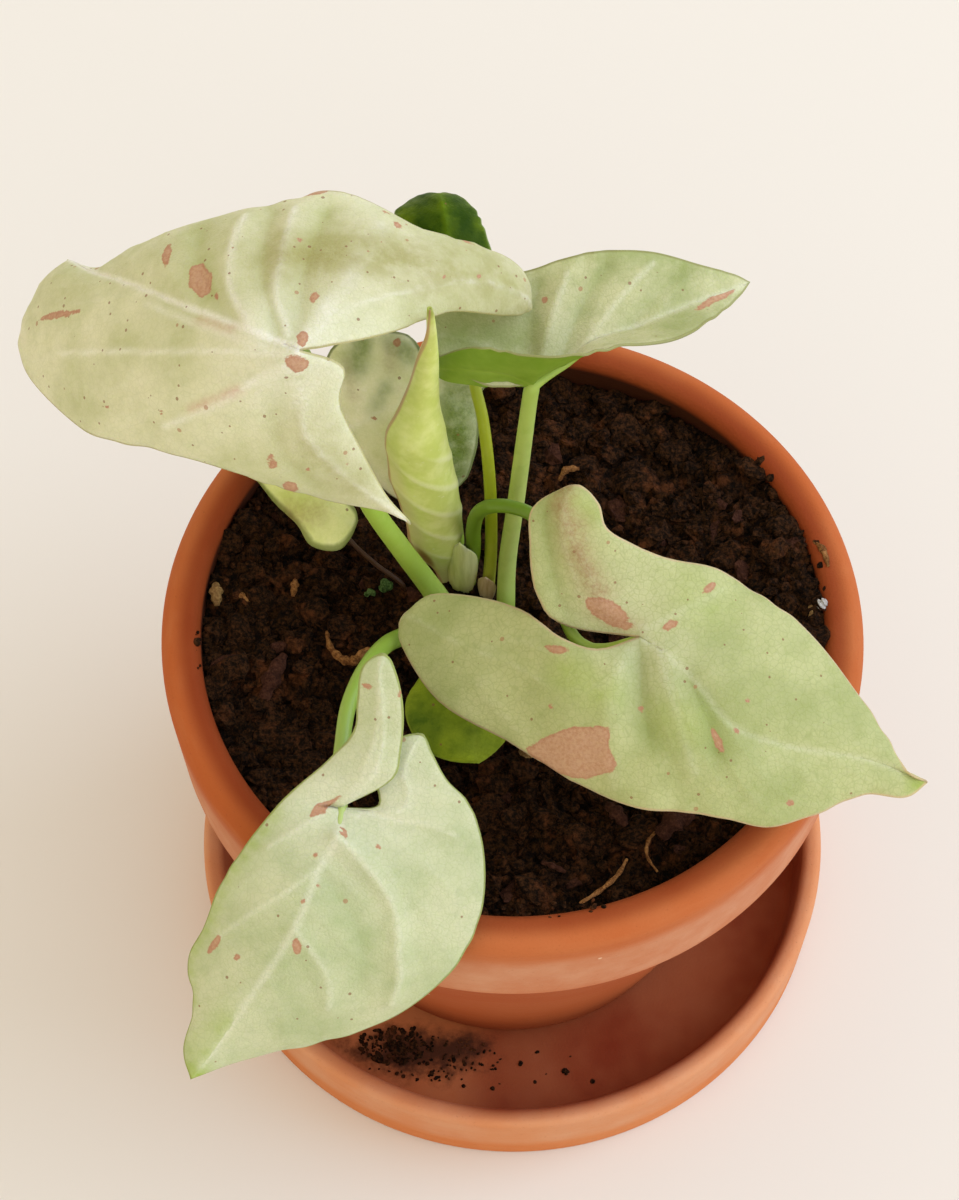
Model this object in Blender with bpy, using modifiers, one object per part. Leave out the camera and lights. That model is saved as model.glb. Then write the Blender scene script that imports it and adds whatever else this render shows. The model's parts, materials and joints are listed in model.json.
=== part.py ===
"""Potted syngonium: a terracotta pot on its saucer, filled with soil, with an arrowhead plant.

The object stands on Z = 0. Its origin is on the pot's axis, in the plane of the saucer's underside.
X runs to the right seen from the front, and Y runs to the back. Sizes below are in millimetres.
"""
import math

import bmesh
import bpy
import numpy as np
from mathutils import Euler

MM = 0.001

# ---- driving dimensions ----------------------------------------------------------------------
SEAT_GAP = 0.3            # clearance kept between two pieces that touch

SAUCER_SHIFT = 0.8        # the saucer's centre lies this far to the right of the pot's axis
SAUCER_RIM_RADIUS = 65.0
SAUCER_FOOT_RADIUS = 64.3
SAUCER_HEIGHT = 18.7
SAUCER_WALL = 4.0
SAUCER_FLOOR = 6.0
SAUCER_DRAFT = 1.5        # how far the wall's inner face leans out from floor to lip

POT_RIM_RADIUS = 65.0
POT_MOUTH_RADIUS = 57.5
POT_BASE_RADIUS = 40.0
POT_TOP = 113.0
COLLAR_HEIGHT = 24.0
COLLAR_DRAFT = 1.2        # how much narrower the collar is at its lower edge
COLLAR_STEP = 3.8         # how far the collar stands out from the wall below it
POT_WALL = 6.0
POT_FLOOR = 8.0
DRAIN_HOLE_RADIUS = 6.0
SHOULDER = 6.0            # how far above and below the collar's edge the inside widens to the mouth
SHOULDER_STEP = 3.0       # how much wider the mouth is than the inside below the shoulder

SOIL_TOP = 106.0
BLADE_THICKNESS = 0.5
SHEATH_THICKNESS = 0.4

TURNED_STEPS = 48         # facets round the pot and the saucer
TUBE_POINTS = 18          # points along a leaf stalk
WELD = 0.00002            # metres: points of a sheet closer than this become one
LARGE_BLADE = (7, 11, 4)  # rows along the back lobe, rows along the midrib, columns across a half
SMALL_BLADE = (4, 7, 3)
LOBE_CROWDING = 1.6       # rows of a back lobe crowd towards its round tip by this power
FULL_SWELL_WIDTH = 20.0   # a half narrower than this swells less, in proportion

# ---- the plant -------------------------------------------------------------------------------
# A leaf is drawn in its own frame: x runs along the midrib from the stalk to the tip, y to the
# left, z up out of the upper face. "at" is where the stalk meets the blade, and "turn" is the
# heading, climb and roll of that frame in degrees. Each half starts at the tip of its back lobe:
# "lobe" holds that tip and then pairs across the lobe (edge beside the notch, outer edge), and
# "edge" holds the outer edge opposite each midrib point. "swell" is how far a half bows up.
LEAVES = {
    "leaf_top_left": {
        "at": (-35, 7, 195), "turn": (139, -29, -25), "colour": "C9CC9B", "swell": 2.5,
        "midrib": [(0, 0, 0), (8.5, 0.5, 4.5), (23.5, 0.5, 5.5), (42.5, 0, 4.5), (55.5, 0, 2.5),
                   (65.5, 0, -0.5)],
        "left": {
            "lobe": [(-4, 16, -35.5), [(-2, 13.5, -29), (-1, 16, -32)], [(-1, 8, -18.5), (5.5, 19, -23.5)],
                     [(-1, 4, -11.5), (11, 21, -15)], [(-2, -1, -8), (18, 22, -10)]],
            "edge": [(29, 23.5, -6.5), (46, 25.5, -4.5), (65.5, 21, -3), (73.5, 14.5, -2.5),
                     (73.5, 5.5, -2)],
        },
        "right": {
            "lobe": [(-0.5, -27, -42), [(-1, -23.5, -37), (1.5, -32, -38.5)],
                     [(-1.5, -18.5, -24.5), (4.5, -32.5, -31)], [(-3.5, -9, -11.5), (9, -30, -20)]],
            "edge": [(19.5, -29.5, -9.5), (26.5, -23, -3.5), (39.5, -14, 1), (51, -7, 0.5), (58, -1, 0)],
        },
    },
    "leaf_right": {
        "at": (21.5, -18.5, 143), "turn": (-21, -17, 15), "colour": "BDC083", "swell": 1.5,
        "midrib": [(0, 0, 0), (5.5, -1, 2), (12.5, -3.5, 3.5), (21, -7.5, 3.5), (31.5, -6, 2),
                   (44, -2, 0.5), (52.5, -0.5, -0.5), (57, -0.5, 0)],
        "left": {
            "lobe": [(-22, 17.5, 6.5), [(-26.5, 11.5, 3.5), (-17, 16.5, 6.5)],
                     [(-24, 6, 0.5), (-13.5, 13.5, 5)], [(-19.5, 0, -3), (-7, 13.5, 3)],
                     [(-12.5, -3, -5.5), (-0.5, 14.5, 1.5)]],
            "edge": [(7, 17, 0), (13, 17, -1.5), (22, 16, -1.5), (29.5, 14, -2), (39.5, 9, -2),
                     (48, 3.5, -1), (53, -0.5, 0.5)],
        },
        "right": {
            "lobe": [(-36.5, -11, -25), [(-34, -5.5, -22), (-34.5, -15.5, -24)],
                     [(-26.5, -3, -16.5), (-24.5, -22.5, -19)], [(-19, -3, -9.5), (-11, -24.5, -13)],
                     [(-12, -5.5, -3.5), (0.5, -26.5, -8)], [(-5.5, -5, -0.5), (8, -27, -4.5)]],
            "edge": [(13.5, -26.5, -1.5), (20, -24, -0.5), (27, -22, 0.5), (34.5, -20, 0),
                     (41, -14.5, -0.5), (47.5, -7.5, -0.5), (54.5, -4.5, -0.5)],
        },
    },
    "leaf_front": {
        "at": (-30, -45.5, 131), "turn": (-126, -36, -25), "colour": "C6C493", "swell": 1.0,
        "midrib": [(0, 0, 0), (4, 1.5, 4), (9.5, 1, 5.5), (18, 2, 7), (26.5, 2, 7), (36, 1.5, 5),
                   (48, 1, 2), (56.5, 0, 0.5)],
        "left": {
            "lobe": [(-17.5, 6.5, -3), [(-14, 5.5, -1.5), (-15.5, 9.5, -2.5)],
                     [(-9, 5, -1), (-12.5, 14, -2)], [(-4, 4, 0), (-10.5, 19.5, -2)]],
            "edge": [(-6, 24.5, -0.5), (1.5, 29, 1), (10, 31, 2), (19.5, 30, 2.5), (30.5, 25.5, 1),
                     (40.5, 17, -0.5), (50, 7, -2)],
        },
        "right": {
            "lobe": [(-28, -6.5, 0.5), [(-26, -3, 1), (-24, -8.5, 0)], [(-21, 1, 1.5), (-18.5, -6.5, 0)],
                     [(-14.5, 4, 1), (-13, -4.5, 0)], [(-9, 5, 2), (-6, -6, -1)]],
            "edge": [(3, -9.5, 0.5), (13.5, -11.5, 1), (22, -12, 1), (30.5, -11, 0.5),
                     (37.5, -10.5, -1), (44, -6, 0), (52.5, -3.5, -0.5)],
        },
    },
    "leaf_back_right": {
        "at": (3, 19, 165), "turn": (32, -6, 0), "colour": "A9AE7E", "swell": -1.0,
        "midrib": [(0, 0, 0), (5, 0, 2.5), (13, 0, 4.5), (23, -1, 4.5), (33.5, -1, 3.5), (41, -1, 2),
                   (46, 0, 0)],
        "left": {
            "lobe": [(-8, 16, 4), [(-6, 11, 2.5), (-4, 19.5, 6.5)], [(-3.5, 5.5, 0.5), (2, 18, 8)]],
            "edge": [(8, 15, 10), (13, 13.5, 11.5), (20, 11.5, 12), (29, 8, 10), (37.5, 3.5, 6),
                     (43, 1.5, 2.5)],
        },
        "right": {
            "lobe": [(-11.5, 13, -3.5), [(-11, 10, -3.5), (-11.5, 11.5, 2)],
                     [(-7.5, 5.5, -1.5), (-9, 6, 10)], [(-3, 3, -1), (-5.5, 2, 11.5)]],
            "edge": [(-1.5, -2.5, 13), (4, -5.5, 13.5), (12, -7, 12.5), (23, -8, 8.5), (33.5, -5.5, 4.5),
                     (41.5, -2.5, 1.5)],
        },
    },
    "leaf_back": {
        "at": (-10, 41.5, 165), "turn": (101, -28, 5), "colour": "3F5212", "swell": 1.0,
        "midrib": [(0, 0, 0), (1, 1, 5), (4, 1.5, 9.5), (9, 1.5, 11), (17, 1, 7), (25.5, 0, 0)],
        "left": {
            "lobe": [(0.5, 7.5, -5), [(0, 4.5, -2.5), (3, 9.5, -2.5)]],
            "edge": [(4.5, 11, 1.5), (6.5, 11, 5), (11, 9.5, 7.5), (18, 6, 6), (23, 3, 3)],
        },
        "right": {
            "lobe": [(-2, -5.5, -5), [(-1.5, -3, -3), (-0.5, -7.5, -3)]],
            "edge": [(0.5, -7, 1), (2.5, -6, 5), (7, -5, 8), (15, -4, 7), (22, -2.5, 3)],
        },
    },
    "leaf_middle": {
        "at": (-15, 32, 144), "turn": (-107, -68, 0), "colour": "93965A", "swell": 1.0,
        "midrib": [(0, 0, 0), (6, 0.5, 1.5), (12, 0.5, 2), (20, 0.5, 1.5), (29, 0, 0)],
        "left": {
            "lobe": [(-3.5, 4, -4), [(-2.5, 2, -1.5), (-1.5, 6.5, -3)]],
            "edge": [(3, 8.5, -3), (8.5, 9.5, -2.5), (15.5, 9.5, -2), (23, 7.5, -2.5)],
        },
        "right": {
            "lobe": [(-7, -6, -3.5), [(-5, -2.5, -2), (-5.5, -10.5, -3)],
                     [(-2.5, -0.5, -1.5), (-3, -15, -2)]],
            "edge": [(1, -17, 0), (8, -16.5, 2), (16.5, -13, 2.5), (25.5, -6.5, 1)],
        },
    },
    "leaf_low_left": {
        "at": (-36, 26, 124), "turn": (156, -15, -5), "colour": "7E8C3C", "swell": 1.0,
        "midrib": [(0, 0, 0), (2.5, 1, 2), (7, 2, 3), (13, 1.5, 2.5), (19.5, 0, 0)],
        "left": {
            "lobe": [(-8.5, 5, -7), [(-6.5, 2.5, -4.5), (-8, 11.5, -6.5)], [(-3.5, 1, -2), (-3, 13, -5)]],
            "edge": [(0.5, 10.5, -3), (6, 8, -2), (11, 5, -1), (16, 2, -0.5)],
        },
        "right": {
            "lobe": [(-2, -11, -6.5), [(-2.5, -6.5, -4.5), (1, -12.5, -6)]],
            "edge": [(5, -11, -4), (10, -9, -2.5), (14.5, -5.5, -1), (18, -3, -0.5)],
        },
    },
    "leaf_low_front": {
        "at": (-9.5, -17, 119), "turn": (-77, -22, 5), "colour": "5F7418", "swell": 0.8,
        "midrib": [(0, 0, 0), (3.5, 0.5, 1.5), (7, 1, 2), (11, 0.5, 1), (13.5, 0.5, 0)],
        "left": {
            "lobe": [(-2.5, 5.5, -5), [(-1.5, 3, -2), (-0.5, 7.5, -4)]],
            "edge": [(3.5, 8.5, -2.5), (7.5, 8, -1.5), (10.5, 6, -0.5), (12.5, 3, 0)],
        },
        "right": {
            "lobe": [(-5.5, -4.5, -5), [(-2.5, -2, -2), (-4, -7, -4.5)]],
            "edge": [(-0.5, -10, -2.5), (4, -10.5, -1), (9, -8.5, 0), (12, -4.5, 0.5)],
        },
    },
}

# Stalks: foot on the soil (x, y), the route from there to the blade, then the radius at both ends.
STALKS = {
    "stalk_top_left": ((-13.5, 7), [(-16, 6.5, 117), (-20.5, 6, 131), (-25.5, 6, 147), (-31.5, 7.5, 172),
                                    (-34.2, 9, 185), (-35.2, 8.4, 192.3)], 2.3, 1.4),
    "stalk_right": ((-8.2, 12.6), [(-7.3, 12.6, 117), (-7.2, 12, 127), (-6.3, 10.3, 135.5), (-4, 8, 142),
                                   (0, 6.3, 144.5), (4, 3.5, 145), (6.5, -3, 142.8), (8, -10, 140),
                                   (10.6, -16, 137.6), (15.5, -18.6, 137.8), (20.4, -18.7, 141.5)], 1.5, 1.0),
    "stalk_front": ((-16, 2.4), [(-19, -4, 116), (-23, -11, 125), (-26.5, -18.5, 129.7), (-29, -26, 131.2),
                                 (-30, -33.5, 131), (-30.5, -40, 130.6), (-30, -44.5, 130.4)], 1.8, 1.2),
    "stalk_back_right": ((-1.2, 6.8), [(-0.9, 11, 117), (0.5, 14.5, 132.5), (1.7, 17.2, 148),
                                       (2.4, 18.3, 158), (2.9, 19, 164.3)], 1.8, 1.3),
    "stalk_back": ((-4.4, 10.8), [(-4, 13, 116), (-4, 15.7, 127), (-4.5, 19.5, 137), (-5.5, 24, 145),
                                  (-7, 28, 151), (-8.5, 34, 157.5), (-9.8, 40.5, 163.5)], 1.2, 1.0),
    "stalk_middle": ((-10, 21), [(-11, 26, 117), (-13, 30.5, 130), (-14.8, 33, 140), (-15, 32.5, 142.8)],
                     1.0, 0.8),
    "stalk_low_left": ((-20.5, 10.5), [(-25.5, 13, 111.5), (-30, 15.5, 116), (-34, 20.5, 119.9),
                                       (-35.6, 25, 122.1)], 0.9, 0.8),
    "stalk_low_front": ((-11, 2), [(-10.5, -6.5, 112.5), (-9.8, -13, 116.5), (-9.6, -16.3, 117.6)],
                        1.0, 0.8),
}
UPRIGHT_FOOT = 2.0        # a stalk leaves the soil upright for this far
FRESH_GREEN = "7E9A3E"
STALK_COLOURS = {"stalk_back": "8B9224", "stalk_right": "5F7A22", "stalk_low_left": "7A5236"}

# The youngest leaf is still rolled up: centre line and radius, bottom to top.
ROLLED_LEAF = [(-13, 12.5, SOIL_TOP + SEAT_GAP, 1.8), (-14, 13.2, 112, 2.8), (-14.2, 14.3, 122, 4.6),
               (-15, 14.7, 136, 5.5), (-16.5, 15.8, 148, 5.6), (-17, 16.3, 156, 5.2),
               (-16.2, 17, 163, 3.5), (-15, 17.7, 175, 2.2), (-14.2, 17.4, 183, 1.1),
               (-14.2, 16.9, 189, 0.7), (-14.3, 16.3, 193, 0.4)]
ROLL_OVERLAP = 0.12       # how far the free edge stands off the roll, as a share of its radius
ROLL_SEAM = math.radians(215)
ROLL_TIP = 0.5            # length of the closed point above the last row

# Sheaths round the stalks: centre at the soil, radius, height, the arc that they cover (degrees).
SHEATHS = {
    "sheath_right": ((-8.4, 12.6), 2.1, 12.5, (205, 320), "B9B98A"),
    "sheath_back": ((-4.4, 10.8), 1.7, 6.5, (200, 300), "A98F62"),
}
SHEATH_TAPER = 0.6        # share of its arc that a sheath has lost at its point
SHEATH_BULGE = 0.12       # how far it stands out half way up, as a share of its radius


# ---- helpers ---------------------------------------------------------------------------------
def linear_colour(code):
    """Linear RGBA of an sRGB hex code."""
    channels = [int(code[i:i + 2], 16) / 255 for i in (0, 2, 4)]
    return [c / 12.92 if c <= 0.04045 else ((c + 0.055) / 1.055) ** 2.4 for c in channels] + [1.0]


def finish(name, code, roughness):
    material = bpy.data.materials.new(name)
    material.use_nodes = True
    shader = material.node_tree.nodes["Principled BSDF"]
    shader.inputs["Base Color"].default_value = linear_colour(code)
    shader.inputs["Roughness"].default_value = roughness
    shader.inputs["Metallic"].default_value = 0.0
    return material


def add_object(name, data, material):
    thing = bpy.data.objects.new(name, data)
    data.materials.append(material)
    plant.objects.link(thing)
    return thing


def smooth_curve(points, positions):
    """Points on the smooth curve through the given ones; position 0 is the first of them."""
    knots = np.asarray(points, float)
    padded = np.vstack([2 * knots[0] - knots[1], knots, 2 * knots[-1] - knots[-2]])
    positions = np.clip(positions, 0, len(knots) - 1)
    first = np.minimum(positions.astype(int), len(knots) - 2)
    t = (positions - first)[:, None]
    a, b, c, d = (padded[first + k] for k in range(4))
    cubic = (3 * b - a - 3 * c + d) * t ** 3
    return 0.5 * (2 * b + (c - a) * t + (2 * a - 5 * b + 4 * c - d) * t ** 2 + cubic)


def rounded_profile(corners, steps=2):
    """Profile through (radius, height, fillet) corners, with each fillet drawn as an arc."""
    profile = []
    for index, (radius, height, fillet) in enumerate(corners):
        corner = np.array([radius, height], float)
        if fillet == 0:
            profile.append(corner)
            continue
        before = np.array(corners[index - 1][:2]) - corner
        after = np.array(corners[(index + 1) % len(corners)][:2]) - corner
        before /= np.linalg.norm(before)
        after /= np.linalg.norm(after)
        half_angle = math.acos(np.clip(before @ after, -1, 1)) / 2
        reach = fillet / math.tan(half_angle)
        bisector = (before + after) / np.linalg.norm(before + after)
        centre = corner + bisector * fillet / math.sin(half_angle)
        start = corner + before * reach - centre
        end = corner + after * reach - centre
        turn = math.atan2(start[0] * end[1] - start[1] * end[0], start @ end)
        for step in range(steps + 1):
            angle = turn * step / steps
            spun = np.array([start[0] * math.cos(angle) - start[1] * math.sin(angle),
                             start[0] * math.sin(angle) + start[1] * math.cos(angle)])
            profile.append(centre + spun)
    return profile


def turned(name, profile, material, closed, shift=0.0):
    """Body turned about Z from a profile that runs down its outer side."""
    mesh = bpy.data.meshes.new(name)
    count = len(profile)
    edges = [(i, i + 1) for i in range(count - 1)]
    if closed:
        edges.append((count - 1, 0))
    mesh.from_pydata([(r * MM, 0, z * MM) for r, z in profile], edges, [])
    body = add_object(name, mesh, material)
    body.location.x = shift * MM
    screw = body.modifiers.new("Turn", "SCREW")
    screw.axis = "Z"
    screw.steps = TURNED_STEPS
    screw.render_steps = TURNED_STEPS
    screw.use_merge_vertices = True
    screw.merge_threshold = WELD
    screw.use_smooth_shade = True
    return body


def sheet_grid(bm, grid):
    """Grid of quads in bm laid over a (rows, columns, 3) array of points in millimetres."""
    rows, columns = grid.shape[:2]
    made = bmesh.ops.create_grid(bm, x_segments=rows - 1, y_segments=columns - 1, size=1)
    for vert in made["verts"]:
        row = round((vert.co.x + 1) / 2 * (rows - 1))
        column = round((vert.co.y + 1) / 2 * (columns - 1))
        vert.co = grid[row, column] * MM


def half_blade(leaf, side):
    """Points of one half of a leaf, from its back lobe to its tip and from the midrib outwards."""
    lobe_rows, blade_rows, columns = LARGE_BLADE if len(leaf["midrib"]) > 5 else SMALL_BLADE
    midrib = leaf["midrib"]
    lobe_tip, *pairs = leaf[side]["lobe"]
    notch_edge = [pair[0] for pair in pairs]
    outer_edge = [pair[1] for pair in pairs]
    outline = [midrib[0], *reversed(notch_edge), lobe_tip, *outer_edge, *leaf[side]["edge"], midrib[-1]]
    lobe_length = len(pairs) + 1
    along_lobe = lobe_length * np.linspace(0, 1, lobe_rows + 1) ** LOBE_CROWDING
    along_blade = (len(midrib) - 1) * np.linspace(0, 1, blade_rows + 1)[1:]
    inner = np.vstack([smooth_curve(outline, lobe_length - along_lobe), smooth_curve(midrib, along_blade)])
    outer = smooth_curve(outline, lobe_length + np.concatenate([along_lobe, lobe_length + along_blade]))
    across = np.linspace(0, 1, columns + 1)
    grid = inner[:, None] + (outer - inner)[:, None] * across[None, :, None]
    normal = np.cross(np.gradient(grid, axis=0), (outer - inner)[:, None])
    normal /= np.linalg.norm(normal, axis=2, keepdims=True) + 1e-9
    if side == "right":
        normal = -normal
    width = np.linalg.norm(outer - inner, axis=1)
    bow = leaf["swell"] * np.minimum(1, width / FULL_SWELL_WIDTH)[:, None] * 4 * across * (1 - across)
    return grid + normal * bow[..., None]


def make_leaf(name, leaf):
    bm = bmesh.new()
    for side in ("left", "right"):
        sheet_grid(bm, half_blade(leaf, side))
    bmesh.ops.remove_doubles(bm, verts=bm.verts, dist=WELD)
    bmesh.ops.recalc_face_normals(bm, faces=bm.faces)
    mesh = bpy.data.meshes.new(name)
    bm.to_mesh(mesh)
    bm.free()
    mesh.shade_smooth()
    blade = add_object(name, mesh, finish(name, leaf["colour"], 0.5))
    heading, climb, roll = (math.radians(angle) for angle in leaf["turn"])
    blade.location = [c * MM for c in leaf["at"]]
    blade.rotation_euler = Euler((roll, -climb, heading))
    thicken(blade, BLADE_THICKNESS)


def thicken(sheet, thickness):
    solidify = sheet.modifiers.new("Thickness", "SOLIDIFY")
    solidify.thickness = thickness * MM
    solidify.offset = 0
    solidify.use_rim = True


def make_stalk(name, foot, route, base_radius, top_radius, code):
    """Tapered tube that leaves the soil upright and follows a route of hand-picked points."""
    start = (*foot, SOIL_TOP + SEAT_GAP)
    knots = [(*foot, SOIL_TOP + UPRIGHT_FOOT), *route]
    line = np.vstack([start, smooth_curve(knots, np.linspace(0, len(knots) - 1, TUBE_POINTS - 1))])
    curve = bpy.data.curves.new(name, "CURVE")
    curve.dimensions = "3D"
    curve.bevel_depth = base_radius * MM
    curve.bevel_resolution = 2
    curve.use_fill_caps = True
    spline = curve.splines.new("POLY")
    spline.points.add(TUBE_POINTS - 1)
    for index, point in enumerate(spline.points):
        share = index / (TUBE_POINTS - 1)
        point.co = (*(line[index] * MM), 1)
        point.radius = 1 + (top_radius / base_radius - 1) * share
    add_object(name, curve, finish(name, code, 0.45))


def make_rolled_leaf(name, rows=24, columns=14):
    """Young leaf rolled round itself, with its free edge standing off along one side."""
    line = smooth_curve(ROLLED_LEAF, np.linspace(0, len(ROLLED_LEAF) - 1, rows))
    grid = np.zeros((rows + 2, columns + 2, 3))
    for column in range(columns + 2):
        turn = min(column, columns) / columns
        stand_off = ROLL_OVERLAP * turn if column <= columns else 0
        angle = ROLL_SEAM - 2 * math.pi * turn
        outward = np.array([math.cos(angle), math.sin(angle), 0])
        grid[1:-1, column] = line[:, :3] + outward * (line[:, 3] * (1 + stand_off))[:, None]
    grid[0] = line[0, :3]
    grid[-1] = line[-1, :3] + np.array([0, 0, ROLL_TIP])
    bm = bmesh.new()
    sheet_grid(bm, grid)
    bmesh.ops.remove_doubles(bm, verts=bm.verts, dist=WELD)
    bmesh.ops.recalc_face_normals(bm, faces=bm.faces)
    mesh = bpy.data.meshes.new(name)
    bm.to_mesh(mesh)
    bm.free()
    add_object(name, mesh, finish(name, "BFC766", 0.45))


def make_sheath(name, centre, radius, height, arc, code, rows=4, columns=5):
    """Papery sheath round the foot of a stalk: part of a tube that narrows to a point."""
    grid = np.zeros((rows + 1, columns + 1, 3))
    middle = math.radians(sum(arc) / 2)
    spread = math.radians(arc[1] - arc[0]) / 2
    for row in range(rows + 1):
        rise = row / rows
        for column in range(columns + 1):
            side = 2 * column / columns - 1
            angle = middle + spread * side * (1 - SHEATH_TAPER * rise ** 2)
            reach = radius * (1 + SHEATH_BULGE * math.sin(math.pi * rise))
            grid[row, column] = (centre[0] + reach * math.cos(angle), centre[1] + reach * math.sin(angle),
                                 SOIL_TOP + SEAT_GAP + height * rise * (1 - SHEATH_BULGE * side ** 2))
    bm = bmesh.new()
    sheet_grid(bm, grid)
    bmesh.ops.recalc_face_normals(bm, faces=bm.faces)
    mesh = bpy.data.meshes.new(name)
    bm.to_mesh(mesh)
    bm.free()
    mesh.shade_smooth()
    thicken(add_object(name, mesh, finish(name, code, 0.6)), SHEATH_THICKNESS)


# ---- build -----------------------------------------------------------------------------------
for leftover in list(bpy.data.objects):
    bpy.data.objects.remove(leftover)
plant = bpy.data.collections.new("potted_syngonium")
bpy.context.scene.collection.children.link(plant)

# Saucer: flat underside, low wall that leans out a little, rounded lip.
saucer_inner = SAUCER_RIM_RADIUS - SAUCER_WALL
turned("saucer", rounded_profile([
    (0, SAUCER_FLOOR, 0),
    (saucer_inner - SAUCER_DRAFT, SAUCER_FLOOR, 3.0),
    (saucer_inner, SAUCER_HEIGHT, 1.6),
    (SAUCER_RIM_RADIUS, SAUCER_HEIGHT, 1.6),
    (SAUCER_FOOT_RADIUS, 0, 0.8),
    (0, 0, 0),
]), finish("saucer", "C98A5C", 0.8), closed=False, shift=SAUCER_SHIFT)

# Pot: tapered body, thick collar with a step below it, drain hole in the floor.
pot_base = SAUCER_FLOOR + SEAT_GAP
collar_foot = POT_TOP - COLLAR_HEIGHT
collar_radius = POT_RIM_RADIUS - COLLAR_DRAFT
neck_radius = collar_radius - COLLAR_STEP
floor_radius = POT_BASE_RADIUS - POT_WALL + 1.5
inner_radius = POT_MOUTH_RADIUS - SHOULDER_STEP
turned("pot", rounded_profile([
    (POT_MOUTH_RADIUS, POT_TOP, 2.2),
    (POT_RIM_RADIUS, POT_TOP, 3.0),
    (collar_radius, collar_foot, 1.2),
    (neck_radius, collar_foot - 1.0, 1.0),
    (POT_BASE_RADIUS, pot_base, 1.0),
    (DRAIN_HOLE_RADIUS, pot_base, 0),
    (DRAIN_HOLE_RADIUS, pot_base + POT_FLOOR, 0),
    (floor_radius, pot_base + POT_FLOOR, 4.0),
    (inner_radius, collar_foot - SHOULDER, SHOULDER),
    (POT_MOUTH_RADIUS, collar_foot + SHOULDER, SHOULDER),
]), finish("pot", "BE7D54", 0.8), closed=True)

# Potting soil: fills the pot up to a few millimetres under its rim.
soil_floor = pot_base + POT_FLOOR + SEAT_GAP
turned("potting_soil", rounded_profile([
    (0, SOIL_TOP, 0),
    (POT_MOUTH_RADIUS - SEAT_GAP, SOIL_TOP, 0.6),
    (POT_MOUTH_RADIUS - SEAT_GAP, collar_foot + SHOULDER, SHOULDER),
    (inner_radius - SEAT_GAP, collar_foot - SHOULDER, SHOULDER),
    (floor_radius - SEAT_GAP, soil_floor, 4.0),
    (0, soil_floor, 0),
]), finish("potting_soil", "3A2A1A", 0.95), closed=False)

# Plant: blades, the stalks that carry them, the leaf that is still rolled up, and the sheaths.
for leaf_name, leaf_shape in LEAVES.items():
    make_leaf(leaf_name, leaf_shape)
for stalk_name, stalk_shape in STALKS.items():
    make_stalk(stalk_name, *stalk_shape, STALK_COLOURS.get(stalk_name, FRESH_GREEN))
make_rolled_leaf("leaf_unfurling")
for sheath_name, sheath_shape in SHEATHS.items():
    make_sheath(sheath_name, *sheath_shape)
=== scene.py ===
# %% [markdown]
# # A pink-splash syngonium in a terracotta pot
# This notebook dresses a finished model of a young arrowhead plant. The solids are already at their
# real size and place. Here every surface gets its looks: fired clay, peaty soil, soft variegated
# leaves with veins and pink splashes, and juicy stalks. Sizes are written in millimetres and turned
# to metres by one factor, because a leaf is easier to think about in millimetres.

# %% Load the fixed frame
import json
import math

import bmesh
import bpy
import numpy as np
from mathutils import Euler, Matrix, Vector

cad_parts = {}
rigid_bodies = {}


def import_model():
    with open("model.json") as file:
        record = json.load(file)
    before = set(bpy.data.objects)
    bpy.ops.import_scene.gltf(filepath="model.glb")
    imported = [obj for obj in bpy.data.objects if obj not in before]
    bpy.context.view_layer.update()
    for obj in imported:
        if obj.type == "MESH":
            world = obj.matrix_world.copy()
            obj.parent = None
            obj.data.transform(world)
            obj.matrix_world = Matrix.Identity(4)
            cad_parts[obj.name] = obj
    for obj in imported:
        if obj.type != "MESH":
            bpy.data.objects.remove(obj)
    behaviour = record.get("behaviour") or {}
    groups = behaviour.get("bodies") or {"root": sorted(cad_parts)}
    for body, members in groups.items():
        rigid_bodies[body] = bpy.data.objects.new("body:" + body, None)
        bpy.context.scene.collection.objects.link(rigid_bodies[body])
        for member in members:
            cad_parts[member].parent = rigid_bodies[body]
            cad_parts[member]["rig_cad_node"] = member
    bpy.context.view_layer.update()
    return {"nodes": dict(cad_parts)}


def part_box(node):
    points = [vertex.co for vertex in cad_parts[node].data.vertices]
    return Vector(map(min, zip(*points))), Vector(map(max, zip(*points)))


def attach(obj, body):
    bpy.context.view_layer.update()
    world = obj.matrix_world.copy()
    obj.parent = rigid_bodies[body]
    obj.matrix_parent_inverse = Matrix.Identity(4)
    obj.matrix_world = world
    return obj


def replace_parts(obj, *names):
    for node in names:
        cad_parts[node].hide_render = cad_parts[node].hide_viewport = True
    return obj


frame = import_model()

MM = 0.001
scene = bpy.context.scene
print("nodes:", ", ".join(sorted(frame["nodes"])))

# %% [markdown]
# ## Camera
# The plant is seen from above, as when one looks down at it on a table. A long lens keeps the pot's
# rim a calm ellipse. The camera could be aimed with a constraint, but a plain place and tilt are
# easier to read: it stands a little in front of the pot and looks down at about 62 degrees.

# %% Camera
LENS, SENSOR = 96, 36                    # mm
CAMERA_PLACE = (-6.1, -271.6, 634.6)     # mm
CAMERA_TILT = 27.9                       # degrees from straight down
camera_data = bpy.data.cameras.new("table_camera")
camera_data.lens = LENS
camera_data.sensor_width = SENSOR
camera = bpy.data.objects.new("table_camera", camera_data)
camera.location = [c * MM for c in CAMERA_PLACE]
camera.rotation_euler = (math.radians(CAMERA_TILT), 0, 0)
scene.collection.objects.link(camera)
scene.camera = camera
print("camera height (mm):", round(camera.location.z / MM))

# %% [markdown]
# ## Helpers
# Colours are picked as screen (sRGB) hex codes, because that is how one reads them off a swatch,
# but a shader works with linear light. One function converts them. One method adds a node, sets
# what is asked and links it. A finish is a material whose coats of colour go one over the other, so
# that it reads as a list of what happens to the surface.

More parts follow.
